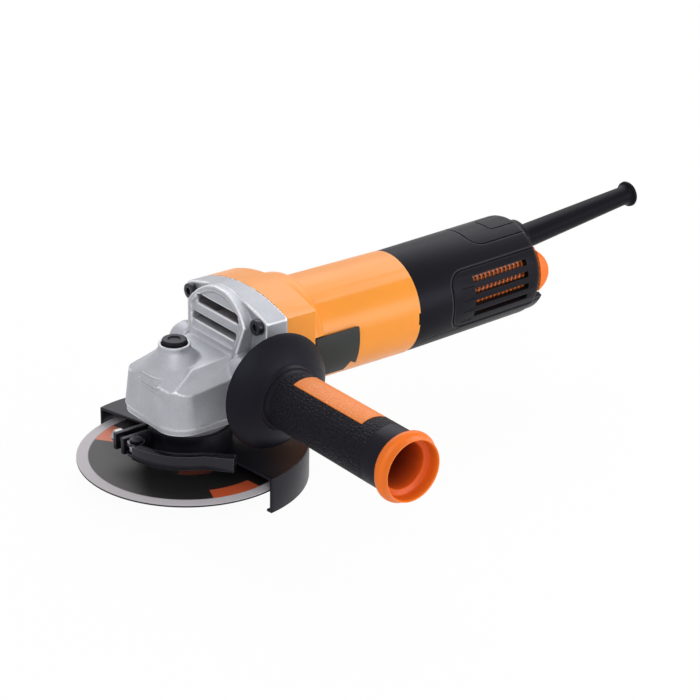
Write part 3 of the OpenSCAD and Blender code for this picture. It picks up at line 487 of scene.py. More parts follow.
def eased(corners, steps=6):
    """An outline of (u, v) or (u, v, radius) corners, with those corners rounded"""
    most_of_side = 0.49
    points = []
    for i, corner in enumerate(corners):
        here = Vector(corner[:2])
        if len(corner) < 3:
            points.append(tuple(here))
            continue
        before = Vector(corners[i - 1][:2]) - here
        after = Vector(corners[(i + 1) % len(corners)][:2]) - here
        half = before.angle(after) / 2
        reach = min(corner[2] / math.tan(half),
                    before.length * most_of_side, after.length * most_of_side)
        radius = reach * math.tan(half)
        halfway = (before.normalized() + after.normalized()).normalized()
        centre = here + halfway * (radius / math.sin(half))
        start = here + before.normalized() * reach - centre
        end = here + after.normalized() * reach - centre
        turn = start.angle_signed(end)
        for k in range(steps + 1):
            a = -turn * k / steps
            points.append((centre.x + start.x * math.cos(a) - start.y * math.sin(a),
                           centre.y + start.x * math.sin(a) + start.y * math.cos(a)))
    return points


def wire(name, points, place):
    """A closed wire through the points, which place turns into x, y and z"""
    bpy.ops.object.select_all(action="DESELECT")
    bpy.ops.mesh.primitive_circle_add(vertices=len(points), radius=0.01, fill_type="NOTHING")
    obj = bpy.context.object
    obj.name = name
    for vertex, (u, v) in zip(obj.data.vertices, points):
        vertex.co = Vector(place(u, v)) * MM
    return obj


def turned(name, corners, place=Matrix.Identity(4), sides=128, steps=6):
    """A round piece: an outline of (radius, height) corners, spun about local Z"""
    obj = wire(name, eased(corners, steps), lambda u, v: (u, 0.0, v))
    edit(obj, spin={"steps": sides, "angle": math.tau, "center": (0, 0, 0), "axis": (0, 0, 1)})
    return closed(settle(obj, place))


def plate(name, points, height, place=Matrix.Identity(4)):
    """A flat outline in local XY, run up by height, in mm"""
    obj = wire(name, points, lambda u, v: (u, v, 0.0))
    up = {"value": (0, 0, height * MM)}
    edit(obj, edge_face_add={}, extrude_region_move={"TRANSFORM_OT_translate": up},
         normals_make_consistent={"inside": False})
    return settle(obj, place)


def ring_path(name, stations):
    """A closed loop of square section, with four points for each station, in mm"""
    bpy.ops.object.select_all(action="DESELECT")
    bpy.ops.mesh.primitive_torus_add(major_segments=len(stations), minor_segments=4)
    obj = bpy.context.object
    obj.name = name
    points = [point for station in stations for point in station]
    for vertex, point in zip(obj.data.vertices, points):
        vertex.co = Vector(point) * MM
    return closed(settle(obj))


def join(*objects):
    """One object of several"""
    alone(objects[0])
    for obj in objects[1:]:
        obj.select_set(True)
    bpy.ops.object.join()
    return bpy.context.object


def done(obj, body, node):
    """Settles a finished piece on its body and in place of its frame node"""
    settle(obj)
    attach(obj, body)
    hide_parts(node)


def rounded(node, name, body, finish, width, angle=30, segments=3):
    """A frame node's shape with its edges rounded, as a piece of its own"""
    obj = from_node(node, name)
    soften(obj, width, angle, segments)
    smooth(obj, 40)
    finish.dress(obj)
    done(obj, body, node)


# --- Finishes ---
def cast_finish(dense=False):
    """Bare aluminium, lighter on its edges (partly wear, partly a painted highlight); a dense mesh
    also gets painted shade in its hollows and slots
    """
    f = Finish("cast aluminium", colour_of("casting"), 0.4, metal=0.5, specular=0.4)
    f.shade(0.86 + f.noise(9.0, 3) * 0.28)
    f.shade(0.78 + f.noise(0.6, 3) * 0.44)
    if dense:
        bend = f.curve()
        from_lock = ((f.x - LOCK.x) * (f.x - LOCK.x) + f.y * f.y).sqrt()
        boss = from_lock.fade(11.0, 9.0) * f.z.fade(57, 59)
        # Lighter edges and creases: partly wear, partly a painted highlight
        edge_wear_and_highlight = bend.fade(0.506, 0.545) * (1.0 - boss * 0.7)
        # Painted shade: the dense mesh darker in its hollows
        f.shade(1.0 - bend.fade(0.49, 0.46) * 0.3)
        f.shade(1.0 - f.x.fade(20, 24) * 0.2)
        # Painted shade: darker deep in slots and tight hollows, by ambient occlusion
        f.shade(0.35 + f.shelter(7.0).fade(0.0, 0.62) * 0.65)
    else:
        edge_wear_and_highlight = f.edges(1.6).fade(0.012, 0.09)
    # Wear and painted highlight: near-white on the edges
    f.paint((0.93, 0.93, 0.96), edge_wear_and_highlight * 0.8)
    f.gloss(0.40 + f.noise(1.2, 3) * 0.16 - edge_wear_and_highlight * 0.12)
    f.relief(f.noise(0.45, 4), 0.025)
    f.relief(f.noise(2.6, 2), 0.03)
    return f


def moulded(name, colour, rough, grain=0.35, depth=0.006, **constants):
    """Moulded plastic, with a fine grain and a painted highlight on its edges"""
    if max(colour) < 0.05:
        constants["tinge"] = COOL
    f = Finish(name, colour, rough, **constants)
    f.shade(0.95 + f.noise(14.0, 2) * 0.1)
    # Painted highlight: a lighter colour on the edges
    f.paint([min(1.0, c * 1.5 + 0.03) for c in colour], f.edges(0.7).fade(0.03, 0.2) * 0.6)
    f.gloss(rough - 0.05 + f.noise(2.2, 3) * 0.1)
    f.relief(f.noise(grain, 3), depth)
    return f


def machined(name, colour, rough, axis="z", centre=(0, 0, 0)):
    """Turned metal: fine rings round the axis"""
    f = Finish(name, colour, rough, metal=1.0)
    places, along = (f.x, f.y, f.z), "xyz".index(axis)
    u, v = (places[i] - centre[i] for i in range(3) if i != along)
    rings = f.noise(0.22, 2, at=f.vector((u * u + v * v).sqrt(), 0.0, places[along]))
    f.shade(0.88 + rings * 0.24)
    f.gloss(rough - 0.06 + rings * 0.14)
    f.relief(rings, 0.008)
    return f


def painted(name, colour, rough, wear_and_highlight_grey=0.11, **constants):
    """Satin paint, with that grey on its edges: partly wear, partly a painted highlight"""
    f = Finish(name, colour, rough, specular=0.26, tinge=COOL, **constants)
    # Wear and painted highlight: grey on the edges
    f.paint((wear_and_highlight_grey, wear_and_highlight_grey, wear_and_highlight_grey * 1.2), f.edges(0.6).fade(0.05, 0.3) * 0.6)
    f.gloss(rough - 0.05 + f.noise(3.0, 3) * 0.12)
    f.relief(f.noise(1.4, 2), 0.012)
    return f


# --- Pieces ---
class GRINDER_OT_head(bpy.types.Operator):
    """Cast gear case with its vent tower, button boss and bare raised frame"""
    bl_idname = "grinder.head"
    bl_label = "Gear case"

    def execute(self, context):
        head = from_node("gear_case", "head_casting")
        self.lean_walls(head)
        cut(head, self.skirt(), operation="UNION")
        modify(head, "REMESH", mode="VOXEL", voxel_size=size("cast_grain") * MM)
        self.melt_skirt(head)
        modify(head, "SMOOTH", factor=0.5, iterations=3)
        self.raise_frame(head)
        bore_r = LOCK_R + LOCK_GAP
        cut(head, turned("button bore", [(0, LOCK_FLOOR), (bore_r, LOCK_FLOOR), (bore_r, 70),
                                         (0, 70)], LOCK_PLACE, sides=64))
        smooth(head, 50)
        cast = cast_finish(dense=True)
        line = abs(cast.panel(cast.z, cast.y, FRAME_LOW, FRAME_HIGH, FRAME_CORNER))
        cast.relief(line.fade(0.6, 0.1) * cast.x.fade(-13, -15), 0.32)
        cast.dress(head)
        done(head, "housing", "gear_case")
        return {"FINISHED"}

    def lean_walls(self, head):
        """Leans the outer walls in, as a casting needs to leave its mould"""
        for vertex in head.data.vertices:
            x, y, z = vertex.co / MM
            corner = (x < -WALL_CORNER and abs(y) > WALL_CORNER and
                      math.hypot(x + WALL_CORNER, abs(y) - WALL_CORNER) > WALL_CORNER_R)
            outer = abs(y) > WALL_Y or x < WALL_X or corner
            if outer and x < WALL_END and z > DRAFT_FOOT:
                lean = 1 - DRAFT * (z - DRAFT_FOOT) / DRAFT_RISE
                vertex.co.y = y * lean * MM
                if x < 0:
                    vertex.co.x = x * lean * MM

    def skirt(self):
        """Ring round the lock button, on a skirt that runs down to the slopes"""
        skirt = turned("skirt", [(SKIRT_BORE, SKIRT_FOOT[1]), SKIRT_FOOT, SKIRT_BEND,
                                 (SKIRT_R, SKIRT_TOP, 2.0), (RING_R, RING_TOP, 0.4),
                                 (SKIRT_BORE, RING_TOP)], LOCK_PLACE, sides=96)
        walls = eased([(FRONT, -SIDE, CORNER_R), (BACK, -SIDE), (BACK, SIDE),
                       (FRONT, SIDE, CORNER_R)])
        cut(skirt, plate("skirt limit", walls, 40, Matrix.Translation((0, 0, 0.03))),
            operation="INTERSECT")
        return skirt

    def melt_skirt(self, head):
        """Runs the skirt's foot softly into the slopes, and leaves the rest sharp"""
        foot = head.vertex_groups.new(name="skirt foot")
        for vertex in head.data.vertices:
            x, y, z = vertex.co / MM
            away = math.hypot(x - LOCK.x, y)
            if (SKIRT_R < away < MELT_R and MELT_LOW < z < MELT_HIGH
                    and x < MELT_X and y > MELT_Y):
                inside = min(1.0, (MELT_R - away) / 3, (MELT_X - x) / 4, (y - MELT_Y) / 4)
                foot.add([vertex.index], min(1.0, (away - SKIRT_R) / 1.2) * inside, "REPLACE")
        modify(head, "SMOOTH", factor=0.5, iterations=90, vertex_group="skirt foot")

    def raise_frame(self, head):
        """Raises the bare frame out of the front slope"""
        fall = math.radians(SLOPE_FALL)
        out = Vector((-math.sin(fall), 0, math.cos(fall)))
        middle_z, middle_y = ((low + high) / 2 for low, high in zip(FRAME_LOW, FRAME_HIGH))
        half_z, half_y = ((high - low) / 2 - FRAME_CORNER
                          for low, high in zip(FRAME_LOW, FRAME_HIGH))
        for vertex in head.data.vertices:
            place = vertex.co / MM
            if place.x < SLOPE_X and abs(out.dot(place - Vector(SLOPE_POINT))) < 1.5:
                dz, dy = abs(place.z - middle_z) - half_z, abs(place.y - middle_y) - half_y
                outside = math.hypot(max(dz, 0), max(dy, 0)) + min(max(dz, dy), 0)
                rise = (1.2 - abs(outside - FRAME_CORNER)) / 0.8
                vertex.co += out * (max(0.0, min(1.0, rise)) * size("frame_height") * MM)


class GRINDER_OT_head_cover(bpy.types.Operator):
    """Cast cover under the head, with the neck that the guard clamps on"""
    bl_idname = "grinder.head_cover"
    bl_label = "Head cover"

    def execute(self, context):
        rounded("bearing_cover", "head_cover", "housing", cast_finish(), 0.5)
        return {"FINISHED"}


class GRINDER_OT_fasteners(bpy.types.Operator):
    """Black socket screws of the head, and the plated screws elsewhere"""
    bl_idname = "grinder.fasteners"
    bl_label = "Screws"

    def execute(self, context):
        black = moulded("blackened screws", (0.008, 0.008, 0.01), 0.32, 0.5, 0.004, specular=0.4)
        rounded("gear_case_screws", "head_screws", "housing", black, 0.45)
        zinc = machined("zinc plating", (0.62, 0.62, 0.60), 0.32)
        rounded("bearing_cover_screws", "cover_screws", "housing", zinc, 0.3)
        rounded("tail_screw", "tail_cover_screw", "housing", zinc, 0.3)
        zinc.dress_nodes("bearing_plate_screws", "cord_clamp_screws")
        return {"FINISHED"}


class GRINDER_OT_lock_button(bpy.types.Operator):
    """Ribbed lock button with a dimple, over its pin and spring"""
    bl_idname = "grinder.lock_button"
    bl_label = "Lock button"

    def execute(self, context):
        outline = [(2.05, -1.6), (2.05, -5.4), (2.9, -5.4), (2.9, -3), (5.3, -3), (5.3, -5.6),
                   (LOCK_R - 0.1, -5.6), (LOCK_R - 0.1, 0, 0.9), (3.4, 0, 0.4),
                   (2.6, -0.8, 0.5), (0, -0.9), (0, -1.6)]
        ribs = bpy.context.scene.grinder_sizes.button_ribs
        button = turned("lock_button_ribbed", [(r, LOCK_TOP + h, *ease) for r, h, *ease in outline],
                        LOCK_PLACE, sides=4 * ribs)
        for vertex in button.data.vertices:
            flat = Vector((vertex.co.x - LOCK.x * MM, vertex.co.y))
            if flat.length > (LOCK_R - 1.0) * MM and vertex.co.z < (LOCK_TOP - 0.3) * MM:
                wave = 0.5 - 0.5 * math.cos(math.atan2(flat.y, flat.x) * ribs)
                flat *= 1 - RIB_DEPTH * wave
                vertex.co.x, vertex.co.y = LOCK.x * MM + flat.x, flat.y
        smooth(button, 30)
        moulded("button plastic", (0.006, 0.006, 0.008), 0.36, 0.4, 0.004,
                specular=0.18).dress(button)
        done(button, "lock", "lock_button")
        steel = machined("lock steel", BRIGHT_STEEL, 0.25)
        steel.dress_nodes("lock_pin", "brush_springs")
        coil = from_node("lock_spring", "lock_spring_coil", None)
        smooth(coil, 50)
        steel.dress(coil)
        done(coil, "housing", "lock_spring")
        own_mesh(coil)
        return {"FINISHED"}


class GRINDER_OT_wheel(bpy.types.Operator):
    """Thin cutting wheel: reinforced abrasive with a plain printed label and a bare rim"""
    bl_idname = "grinder.wheel"
    bl_label = "Cutting wheel"

    def execute(self, context):
        wheel = turned("wheel_disc", [(WHEEL_BORE_R, -WHEEL_T), (WHEEL_R, -WHEEL_T, 0.25),
                                      (WHEEL_R, 0, 0.2), (WHEEL_BORE_R, 0)], sides=240, steps=3)
        smooth(wheel, 40)
        f = Finish("wheel", colour_of("abrasive"), 0.62, specular=0.25)
        radius = (f.x * f.x + f.y * f.y).sqrt()
        angle = f.y.atan2(f.x)
        grit = f.noise(0.5, 4, rough=0.7)
        f.shade(0.7 + grit * 0.6)
        face = f.z.fade(-0.35, -0.1)
        label = radius.fade(LABEL_R + 0.2, LABEL_R) * face
        f.paint(colour_of("label"), label)
        f.paint((0.085, 0.08, 0.082), (f.x * 0.86 - f.y * 0.5).fade(-21.0, -34.0) * label * 0.8)
        flash = colour_of("flash")
        for colour, start, end, inner, outer, soft, strength in (
                ((0.62, 0.2, 0.13), 107, 127, 41.5, 52, 0.006, 1.0),
                (flash, -111, -82, 42.6, 52, 0.006, 1.0),
                (flash, -138, -96, 17, 25, 0.01, 0.35)):
            sector = angle.within(math.radians(start), math.radians(end), soft)
            f.paint(colour, sector * radius.within(inner, outer, 0.1) * label * strength)
        f.paint((0.3, 0.29, 0.28), radius.within(LABEL_R - 0.2, LABEL_R, 0.08) * face * 0.7)
        f.paint((0.012, 0.012, 0.014), f.z.fade(-0.15, -0.35))
        f.gloss(0.66 - label * 0.2 + grit * 0.12)
        weave = f.x.wrap(WEAVE).fade(0.5, 0.2).most(f.y.wrap(WEAVE).fade(0.5, 0.2))
        f.relief(grit, 0.05)
        f.relief(weave, 0.02)
        f.dress(wheel)
        done(wheel, "spindle_group", "cutting_wheel")
        return {"FINISHED"}


class GRINDER_OT_spindle(bpy.types.Operator):
    """Spindle with its thread, the wheel's flange and its clamping nut"""
    bl_idname = "grinder.spindle"
    bl_label = "Spindle and flanges"

    def execute(self, context):
        thread = machined("threaded steel", (0.42, 0.42, 0.43), 0.3)
        climb = thread.z / THREAD_PITCH - thread.y.atan2(thread.x) / math.tau
        ridge = (climb * math.tau).cos() * 0.5 + 0.5
        thread.relief(ridge * thread.z.fade(THREAD_TOP, THREAD_TOP - 0.6), 0.5)
        # Painted shade: the thread darker in its valleys
        thread.shade(0.62 + ridge * 0.38)
        edge = size("steel_edge")
        rounded("spindle", "spindle_turned", "spindle_group", thread, edge)
        steel = machined("turned steel", (0.45, 0.45, 0.46), 0.3)
        rounded("wheel_flange", "wheel_flange_turned", "spindle_group", steel, edge)
        rounded("clamp_nut", "clamp_nut_turned", "spindle_group", steel, 0.5)
        return {"FINISHED"}


class GRINDER_OT_guard(bpy.types.Operator):
    """Pressed steel wheel guard with its split band and quick lever"""
    bl_idname = "grinder.guard"
    bl_label = "Wheel guard"

    def execute(self, context):
        paint = painted("guard paint", colour_of("guard"), 0.36)
        edge = size("guard_edge")
        rounded("guard_shell", "guard_shell_pressed", "guard", paint, edge)
        rounded("guard_band", "guard_band_formed", "guard", paint, edge)
        # Painted highlight: the lever's edges much lighter than the guard's
        lever = painted("lever paint", (0.006, 0.006, 0.008), 0.14, wear_and_highlight_grey=0.3,
                        coat=0.2, coat_rough=0.08)
        rounded("clamp_lever", "clamp_lever_formed", "lever", lever,
                size("lever_edge"), segments=4)
        steel = machined("link steel", (0.35, 0.35, 0.36), 0.35)
        rounded("clamp_link", "clamp_link_turned", "guard", steel, 0.3)
        pin = painted("pin blacking", (0.012, 0.012, 0.013), 0.3)
        rounded("lever_pin", "lever_pin_head", "guard", pin, size("steel_edge"))
        return {"FINISHED"}


class GRINDER_OT_barrel(bpy.types.Operator):
    """Orange motor housing with its flange, collar and switch pocket"""
    bl_idname = "grinder.barrel"
    bl_label = "Motor housing"

    def execute(self, context):
        orange = moulded("orange plastic", colour_of("body"), 0.3, 0.4, 0.003, specular=0.32)
        rounded("motor_housing", "motor_barrel", "housing", orange,
                size("barrel_edge"))
        return {"FINISHED"}


class GRINDER_OT_switch(bpy.types.Operator):
    """Slide switch knob on the housing's left side, with its rod and switch"""
    bl_idname = "grinder.switch"
    bl_label = "Slide switch"

    def execute(self, context):
        olive = moulded("knob plastic", colour_of("knob"), 0.5, 0.4, 0.008, specular=0.2)
        rounded("switch_knob", "switch_knob_moulded", "switch_slide", olive,
                size("knob_edge"))
        moulded("switch plastic", (0.03, 0.03, 0.032), 0.5).dress_nodes("switch_rod", "switch_body")
        return {"FINISHED"}


class GRINDER_OT_tail(bpy.types.Operator):
    """Tail cover with its intake slots, grooved panels and orange filter inserts"""
    bl_idname = "grinder.tail"
    bl_label = "Tail cover"

    def execute(self, context):
        cover = from_node("tail_cover", "tail_cover_moulded")
        soften(cover, size("tail_edge"))
        for side in (-1, 1):
            cut(cover, self.groove(SIDE_PANEL, side))
            ribs = [self.bar(RIB_START, RIB_END, RIB_FIRST + RIB_STEP * i, 0.8, side)
                    for i in range(RIB_COUNT)]
            cut(cover, join(*ribs, self.bar(LIP_START, PANEL_END, LIP_ANGLE, 0.5, side)))
        cut(cover, self.groove(TOP_PANEL), self.groove(CROWN_PANEL))
        smooth(cover, 40)
        self.plastic().dress(cover)
        done(cover, "housing", "tail_cover")
        orange = moulded("filter orange", colour_of("cap"), 0.42, 0.4, 0.006, specular=0.3)
        # Painted shade: the filter darker where it lies inside the tail; only the web between its
        # holes keeps the full orange there
        orange.shade(orange.x.fade(FILTER_END, FILTER_END + 2.5) * 0.8 + 0.2)
        web = (orange.x - (SEAM_X + 39.0)).wrap(FILTER_HOLES).fade(0.85, 1.15)
        orange.paint(colour_of("cap"), web * orange.x.fade(FILTER_END, FILTER_END - 4) * 0.85)
        rounded("intake_filters", "intake_filters_moulded", "housing", orange,
                0.15)
        return {"FINISHED"}

    def plastic(self):
        """Black plastic, with the relief of its panels and a painted highlight beside each groove
        """
        black = moulded("black plastic", colour_of("tail"), 0.4, 0.45, 0.008, specular=0.1)
        cos, sin = math.cos(TAIL_TILT), math.sin(TAIL_TILT)
        along = (black.x - SEAM_X) * cos + (black.z - AXIS_Z) * sin
        rise = (black.z - AXIS_Z) * cos - (black.x - SEAM_X) * sin
        around = rise.atan2(abs(black.y)) * TAIL_R
        side, top, crown = (black.panel(along, around, *self.rolled(panel))
                            for panel in (SIDE_PANEL, TOP_PANEL, CROWN_PANEL))
        black.relief(side.fade(-1.3, 1.3), 1.1)
        black.relief(top.fade(-0.35, 0.35), 0.45)
        black.relief(abs(crown).fade(0.1, 0.45), 0.3)
        lip = abs(around - LIP_ANGLE * TAIL_DEG)
        black.relief(lip.fade(0.15, 0.6).most(along.fade(LIP_START + 0.5, LIP_START)), 0.6)
        row = (around - RIB_FIRST * TAIL_DEG).wrap(RIB_STEP * TAIL_DEG)
        ribs = row.fade(0.5, 0.2) * along.within(RIB_START - 0.5, RIB_END + 0.5, 0.3)
        rows = around.within(-26 * TAIL_DEG, 18 * TAIL_DEG, 0.3)
        black.relief(1.0 - ribs * rows, 0.5)
        # Painted highlight: a pale line beside the grooves
        side_groove_highlight = abs(side - 0.9).fade(0.6, 0.2) * 0.5
        top_groove_highlight = abs(top - 0.75).fade(0.45, 0.15) * 0.7
        black.paint((0.05, 0.05, 0.06), side_groove_highlight + top_groove_highlight)
        return black

    def rolled(self, panel):
        """A panel with its degrees turned into mm round the tail"""
        low, high, radius = panel
        return (low[0], low[1] * TAIL_DEG), (high[0], high[1] * TAIL_DEG), radius

    def on_tail(self, along, around, out, side):
        """A place on the tail: mm from its seam, mm round it, and mm out of its surface"""
        angle, radius = around / TAIL_R, TAIL_R + out
        cos, sin = math.cos(TAIL_TILT), math.sin(TAIL_TILT)
        rise = radius * math.sin(angle)
        return (SEAM_X + along * cos - rise * sin, side * radius * math.cos(angle),
                AXIS_Z + along * sin + rise * cos)

    def groove(self, panel, side=-1):
        """A cutter for the groove round a panel"""
        (u0, v0), (u1, v1), radius = self.rolled(panel)
        points = eased([(u0, v0, radius), (u1, v0, radius), (u1, v1, radius), (u0, v1, radius)])
        fine = []
        for a, b in zip(points, points[1:] + points[:1]):
            count = max(1, round(abs(b[1] - a[1]) / 1.5))
            fine += [(a[0] + (b[0] - a[0]) * k / count, a[1] + (b[1] - a[1]) * k / count)
                     for k in range(count)]
        low, high = -size("groove_depth"), 1.0
        stations = []
        for before, here, after in zip(fine[-1:] + fine[:-1], fine, fine[1:] + fine[:1]):
            way = Vector((after[0] - before[0], after[1] - before[1])).normalized()
            way *= size("groove_width") / 2
            inner, outer = (here[0] + way.y, here[1] - way.x), (here[0] - way.y, here[1] + way.x)
            stations.append([self.on_tail(*place, out, side) for place, out in
                             ((inner, low), (outer, low), (outer, high), (inner, high))])
        return ring_path("groove", stations)

    def bar(self, start, end, angle, wide, side):
        """A cutter for one straight groove along the tail"""
        deep = size("groove_depth")
        bar = plate("bar", [(start, -wide / 2), (end, -wide / 2), (end, wide / 2),
                            (start, wide / 2)], deep + 1.0)
        for vertex in bar.data.vertices:
            along, across, out = vertex.co / MM
            place = self.on_tail(along, angle * TAIL_DEG + across, out - deep, side)
            vertex.co = Vector(place) * MM
        return closed(bar)


class GRINDER_OT_cord_guard(bpy.types.Operator):
    """Rubber cord guard that ends in an open flared mouth"""
    bl_idname = "grinder.cord_guard"
    bl_label = "Cord guard"

    def execute(self, context):
        rubber = moulded("cord rubber", colour_of("boot"), 0.4, 0.8, 0.004, specular=0.06)
        rounded("cord_guard", "cord_guard_moulded", "housing", rubber, 0.4,
                angle=40)
        rubber.dress_nodes("cord_clamp")
        return {"FINISHED"}


class GRINDER_OT_handle(bpy.types.Operator):
    """Side handle: soft grip with its shield, inlay, hollow end cap, core and stud"""
    bl_idname = "grinder.handle"
    bl_label = "Side handle"

    def execute(self, context):
        edge = size("handle_edge")
        rounded("handle_grip", "handle_grip_soft", "housing", self.grip(), edge)
        inlay = moulded("inlay orange", colour_of("inlay"), 0.4, 0.35, 0.006, specular=0.3)
        cells = self.cells(inlay)
        inlay.relief((cells * 3.5).least(1.0), 0.14)
        # Painted shade: darker in the borders between the cells
        inlay.shade(1.0 - cells.fade(0.12, 0.0) * 0.12)
        rounded("handle_inlay", "handle_inlay_soft", "housing", inlay, 0.35)
        rounded("handle_cap", "handle_cap_moulded", "housing", self.cap(), edge)
        core = moulded("handle core", (0.02, 0.02, 0.022), 0.45, specular=0.2)
        rounded("handle_core", "handle_core_moulded", "housing", core, edge)
        stud = machined("stud steel", BRIGHT_STEEL, 0.28, "y", (HANDLE.x, 0, HANDLE.z))
        rounded("handle_stud", "handle_stud_turned", "housing", stud,
                size("steel_edge"))
        return {"FINISHED"}

    def cells(self, f):
        """Leathery cells rolled round the handle: 0 on their borders"""
        around = (f.z - HANDLE.z).atan2(f.x - HANDLE.x) * GRIP_R
        return f.cells(GRIP_CELL, at=f.vector(around, -f.y, 0.0))

    def grip(self):
        """Soft black grip, leathery where the hand holds it and plain on the shield"""
        f = Finish("soft grip", colour_of("grip"), 0.5, specular=0.15, tinge=COOL)
        cells = self.cells(f)
        held = (-f.y).within(GRIP_START, GRIP_END, 1.0)
        f.relief((cells * 3.5).least(1.0) * held, 0.42)
        # Painted shade: darker in the borders between the cells
        f.shade(1.0 - cells.fade(0.16, 0.0) * held * 0.5)
        f.relief(f.noise(0.6, 3), 0.012)
        f.gloss(0.34 + held * 0.12 + f.noise(1.5, 3) * 0.18)
        f.shade(0.9 + f.noise(8.0, 2) * 0.2)
        return f

    def cap(self):
        """Orange cap, with painted shade in its hollow, darkest on the hollow's floor"""
        f = moulded("cap orange", colour_of("cap"), 0.36, 0.4, 0.005, specular=0.2)
        u, v, w = f.x - HANDLE.x, f.z - HANDLE.z, -f.y
        radius = (u * u + v * v).sqrt()
        hollow = radius.fade(HOLLOW_R, HOLLOW_R - 0.3) * w.fade(HANDLE_END - 1, HANDLE_END - 4)
        # Painted shade: darker inside the hollow
        f.paint((0.66, 0.085, 0.012), hollow * 0.7)
        deepest = w.fade(HANDLE_END - 7, HANDLE_END - 12)
        # Painted shade: darkest on the hollow's floor
        f.paint((0.13, 0.018, 0.012),
                radius.fade(HOLLOW_FLOOR_R, HOLLOW_FLOOR_R - 0.4) * deepest * 0.85)
        return f


class GRINDER_OT_inside(bpy.types.Operator):
    """Finishes for the gears, the bearings and the motor inside the case"""
    bl_idname = "grinder.inside"
    bl_label = "Inner pieces"

    def execute(self, context):
        motor_line = (0, 0, AXIS_Z)
        machined("bearing steel", BEARING_STEEL, 0.18).dress_nodes(
            "spindle_bearing_outer", "spindle_bearing_inner", "spindle_bearing_balls",
            "bearing_retainer")
        motor_bearings = [end + "_bearing_" + part for end in ("front", "rear")
                          for part in ("outer", "inner", "balls")]
        machined("bearing steel, lying", BEARING_STEEL, 0.18, "x", motor_line).dress_nodes(
            *motor_bearings, "front_bearing_plate", "armature_shaft")
        machined("gear steel", GEAR_STEEL, 0.34).dress_nodes("crown_gear")
        machined("pinion steel", GEAR_STEEL, 0.3, "x", motor_line).dress_nodes("pinion")
        machined("bush bronze", (0.58, 0.33, 0.14), 0.36).dress_nodes("spindle_bush")
        stack = Finish("laminated steel", (0.32, 0.32, 0.33), 0.42, metal=0.9)
        sheet = stack.x.wrap(0.5).fade(0.03, 0.12)
        stack.shade(0.45 + sheet * 0.55)
        stack.relief(sheet, 0.05)
        stack.dress_nodes("stator_core", "armature_core")
        copper = Finish("enamelled wire", (0.5, 0.15, 0.05), 0.3, metal=0.75, coat=0.6,
                        coat_rough=0.15)
        around = (copper.z - AXIS_Z).atan2(copper.y) * 14.0
        strand = (around + copper.noise(3.0, 2) * 0.6).wrap(0.55) * 3.6
        copper.relief(strand, 0.12)
        # Painted shade: darker in the gaps between the wires
        copper.shade(0.6 + strand * 0.4)
        copper.dress_nodes("field_coils", "armature_windings")
        bars = machined("commutator copper", (0.72, 0.3, 0.14), 0.28, "x", motor_line)
        bars.shade(0.8 + bars.noise(1.2, 3) * 0.3)
        bars.dress_nodes("commutator")
        machined("brush brass", (0.72, 0.48, 0.16), 0.3, "x", motor_line).dress_nodes(
            "brush_holders")
        moulded("carbon", (0.018, 0.018, 0.019), 0.55, 0.3, 0.012, metal=0.2).dress_nodes(
            "carbon_brushes")
        moulded("fan plastic", (0.035, 0.036, 0.04), 0.4).dress_nodes("cooling_fan", "air_baffle")
        return {"FINISHED"}


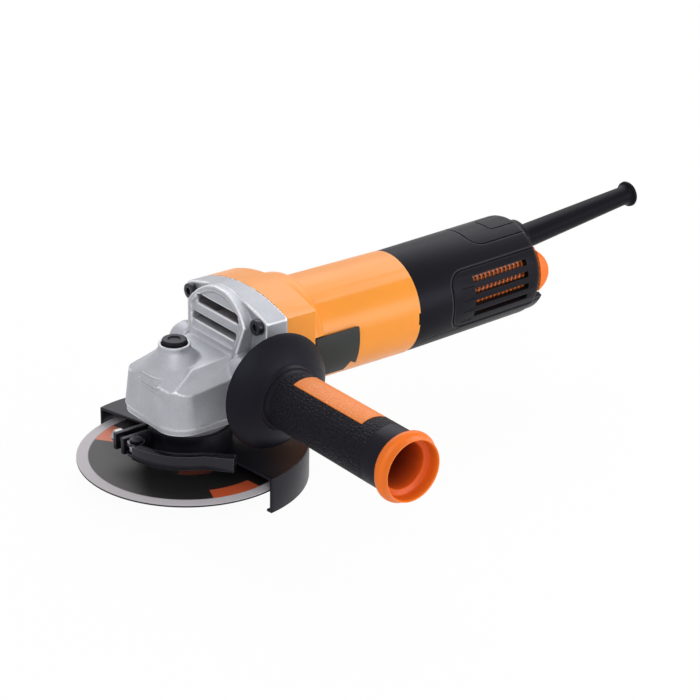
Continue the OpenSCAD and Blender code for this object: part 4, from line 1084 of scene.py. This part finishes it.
class GRINDER_OT_stage(bpy.types.Operator):
    """Pale floor, soft studio light and the camera"""
    bl_idname = "grinder.stage"
    bl_label = "Stage"

    def execute(self, context):
        context.scene.view_settings.view_transform = "Standard"
        self.floor()
        self.world(context.scene)
        for lamp in LAMPS:
            self.lamp(context.scene, *lamp)
        self.camera(context.scene)
        return {"FINISHED"}

    def floor(self):
        """Plain paper just under the object, white where it is seen"""
        bpy.ops.object.select_all(action="DESELECT")
        bpy.ops.mesh.primitive_plane_add(size=8, location=(0.1, 0, CAD_BOX[0][2] - 0.0004))
        floor = bpy.context.object
        floor.name = "stage_floor"
        paper = bpy.data.materials.new("stage paper")
        paper.use_nodes = True
        net = Net(paper.node_tree)
        plain = net.tree.nodes["Principled BSDF"]
        net.feed(plain.inputs["Base Color"], (0.9, 0.9, 0.9, 1))
        net.feed(plain.inputs["Roughness"], 0.9)
        glow = net.node("ShaderNodeEmission", {"Color": WHITE, "Strength": 1.0})
        mix = net.node("ShaderNodeMixShader", {
            0: net.seen(FLOOR_GLOW), 1: plain.outputs[0], 2: glow.outputs[0]})
        net.feed(net.tree.nodes["Material Output"].inputs[0], mix.outputs[0])
        floor.data.materials.append(paper)

    def world(self, scene):
        """Even light from all round, and white behind the floor"""
        world = bpy.data.worlds.new("studio")
        scene.world = world
        world.use_nodes = True
        net = Net(world.node_tree)
        light = net.tree.nodes["Background"]
        net.feed(light.inputs["Color"], WHITE)
        net.feed(light.inputs["Strength"], WORLD_LIGHT)
        white = net.node("ShaderNodeBackground", {"Color": WHITE, "Strength": 1.0})
        mix = net.node("ShaderNodeMixShader", {
            0: net.seen(1.0), 1: light.outputs[0], 2: white.outputs[0]})
        net.feed(net.tree.nodes["World Output"].inputs[0], mix.outputs[0])

    def lamp(self, scene, name, place, aim, sides, power):
        """One soft rectangular lamp"""
        light = bpy.data.lights.new(name, "AREA")
        light.shape = "RECTANGLE"
        light.size, light.size_y = sides
        light.energy = power
        lamp = bpy.data.objects.new(name, light)
        scene.collection.objects.link(lamp)
        lamp.location = place
        way = Vector(aim) - Vector(place)
        lamp.rotation_euler = way.to_track_quat("-Z", "Y").to_euler()

    def camera(self, scene):
        """The camera, from its turn about Z, its rise and its roll"""
        view = bpy.data.cameras.new("camera")
        view.sensor_width = 36
        view.lens = CAMERA_LENS
        view.clip_start = 0.05
        camera = bpy.data.objects.new("camera", view)
        scene.collection.objects.link(camera)
        place = Matrix.Translation(CAMERA_PLACE)
        for angle, axis in ((CAMERA_TURN, "Z"), (90 - CAMERA_RISE, "X"), (CAMERA_ROLL, "Z")):
            place @= Matrix.Rotation(math.radians(angle), 4, axis)
        camera.matrix_world = place
        scene.camera = camera


STEPS = (GRINDER_OT_stage, GRINDER_OT_head, GRINDER_OT_head_cover, GRINDER_OT_fasteners,
         GRINDER_OT_lock_button, GRINDER_OT_wheel, GRINDER_OT_spindle, GRINDER_OT_guard,
         GRINDER_OT_barrel, GRINDER_OT_switch, GRINDER_OT_tail, GRINDER_OT_cord_guard,
         GRINDER_OT_handle, GRINDER_OT_inside)


class GRINDER_PT_panel(bpy.types.Panel):
    """Sizes, colours and steps of the grinder"""
    bl_idname = "GRINDER_PT_panel"
    bl_label = "Angle grinder"
    bl_space_type = "VIEW_3D"
    bl_region_type = "UI"
    bl_category = "Grinder"

    def draw(self, context):
        for group in (context.scene.grinder_sizes, context.scene.grinder_colours):
            box = self.layout.box()
            for name in type(group).__annotations__:
                box.prop(group, name)
        for step in STEPS:
            self.layout.operator(step.bl_idname)


CLASSES = (GrinderSizes, GrinderColours, *STEPS, GRINDER_PT_panel)


def register():
    for cls in CLASSES:
        bpy.utils.register_class(cls)
    bpy.types.Scene.grinder_sizes = bpy.props.PointerProperty(type=GrinderSizes)
    bpy.types.Scene.grinder_colours = bpy.props.PointerProperty(type=GrinderColours)


def unregister():
    del bpy.types.Scene.grinder_sizes
    del bpy.types.Scene.grinder_colours
    for cls in reversed(CLASSES):
        bpy.utils.unregister_class(cls)


def main():
    register()
    for step in STEPS:
        group, name = step.bl_idname.split(".")
        if getattr(getattr(bpy.ops, group), name)() != {"FINISHED"}:
            raise RuntimeError(step.bl_label + " was not finished")


if __name__ == "__main__":
    main()
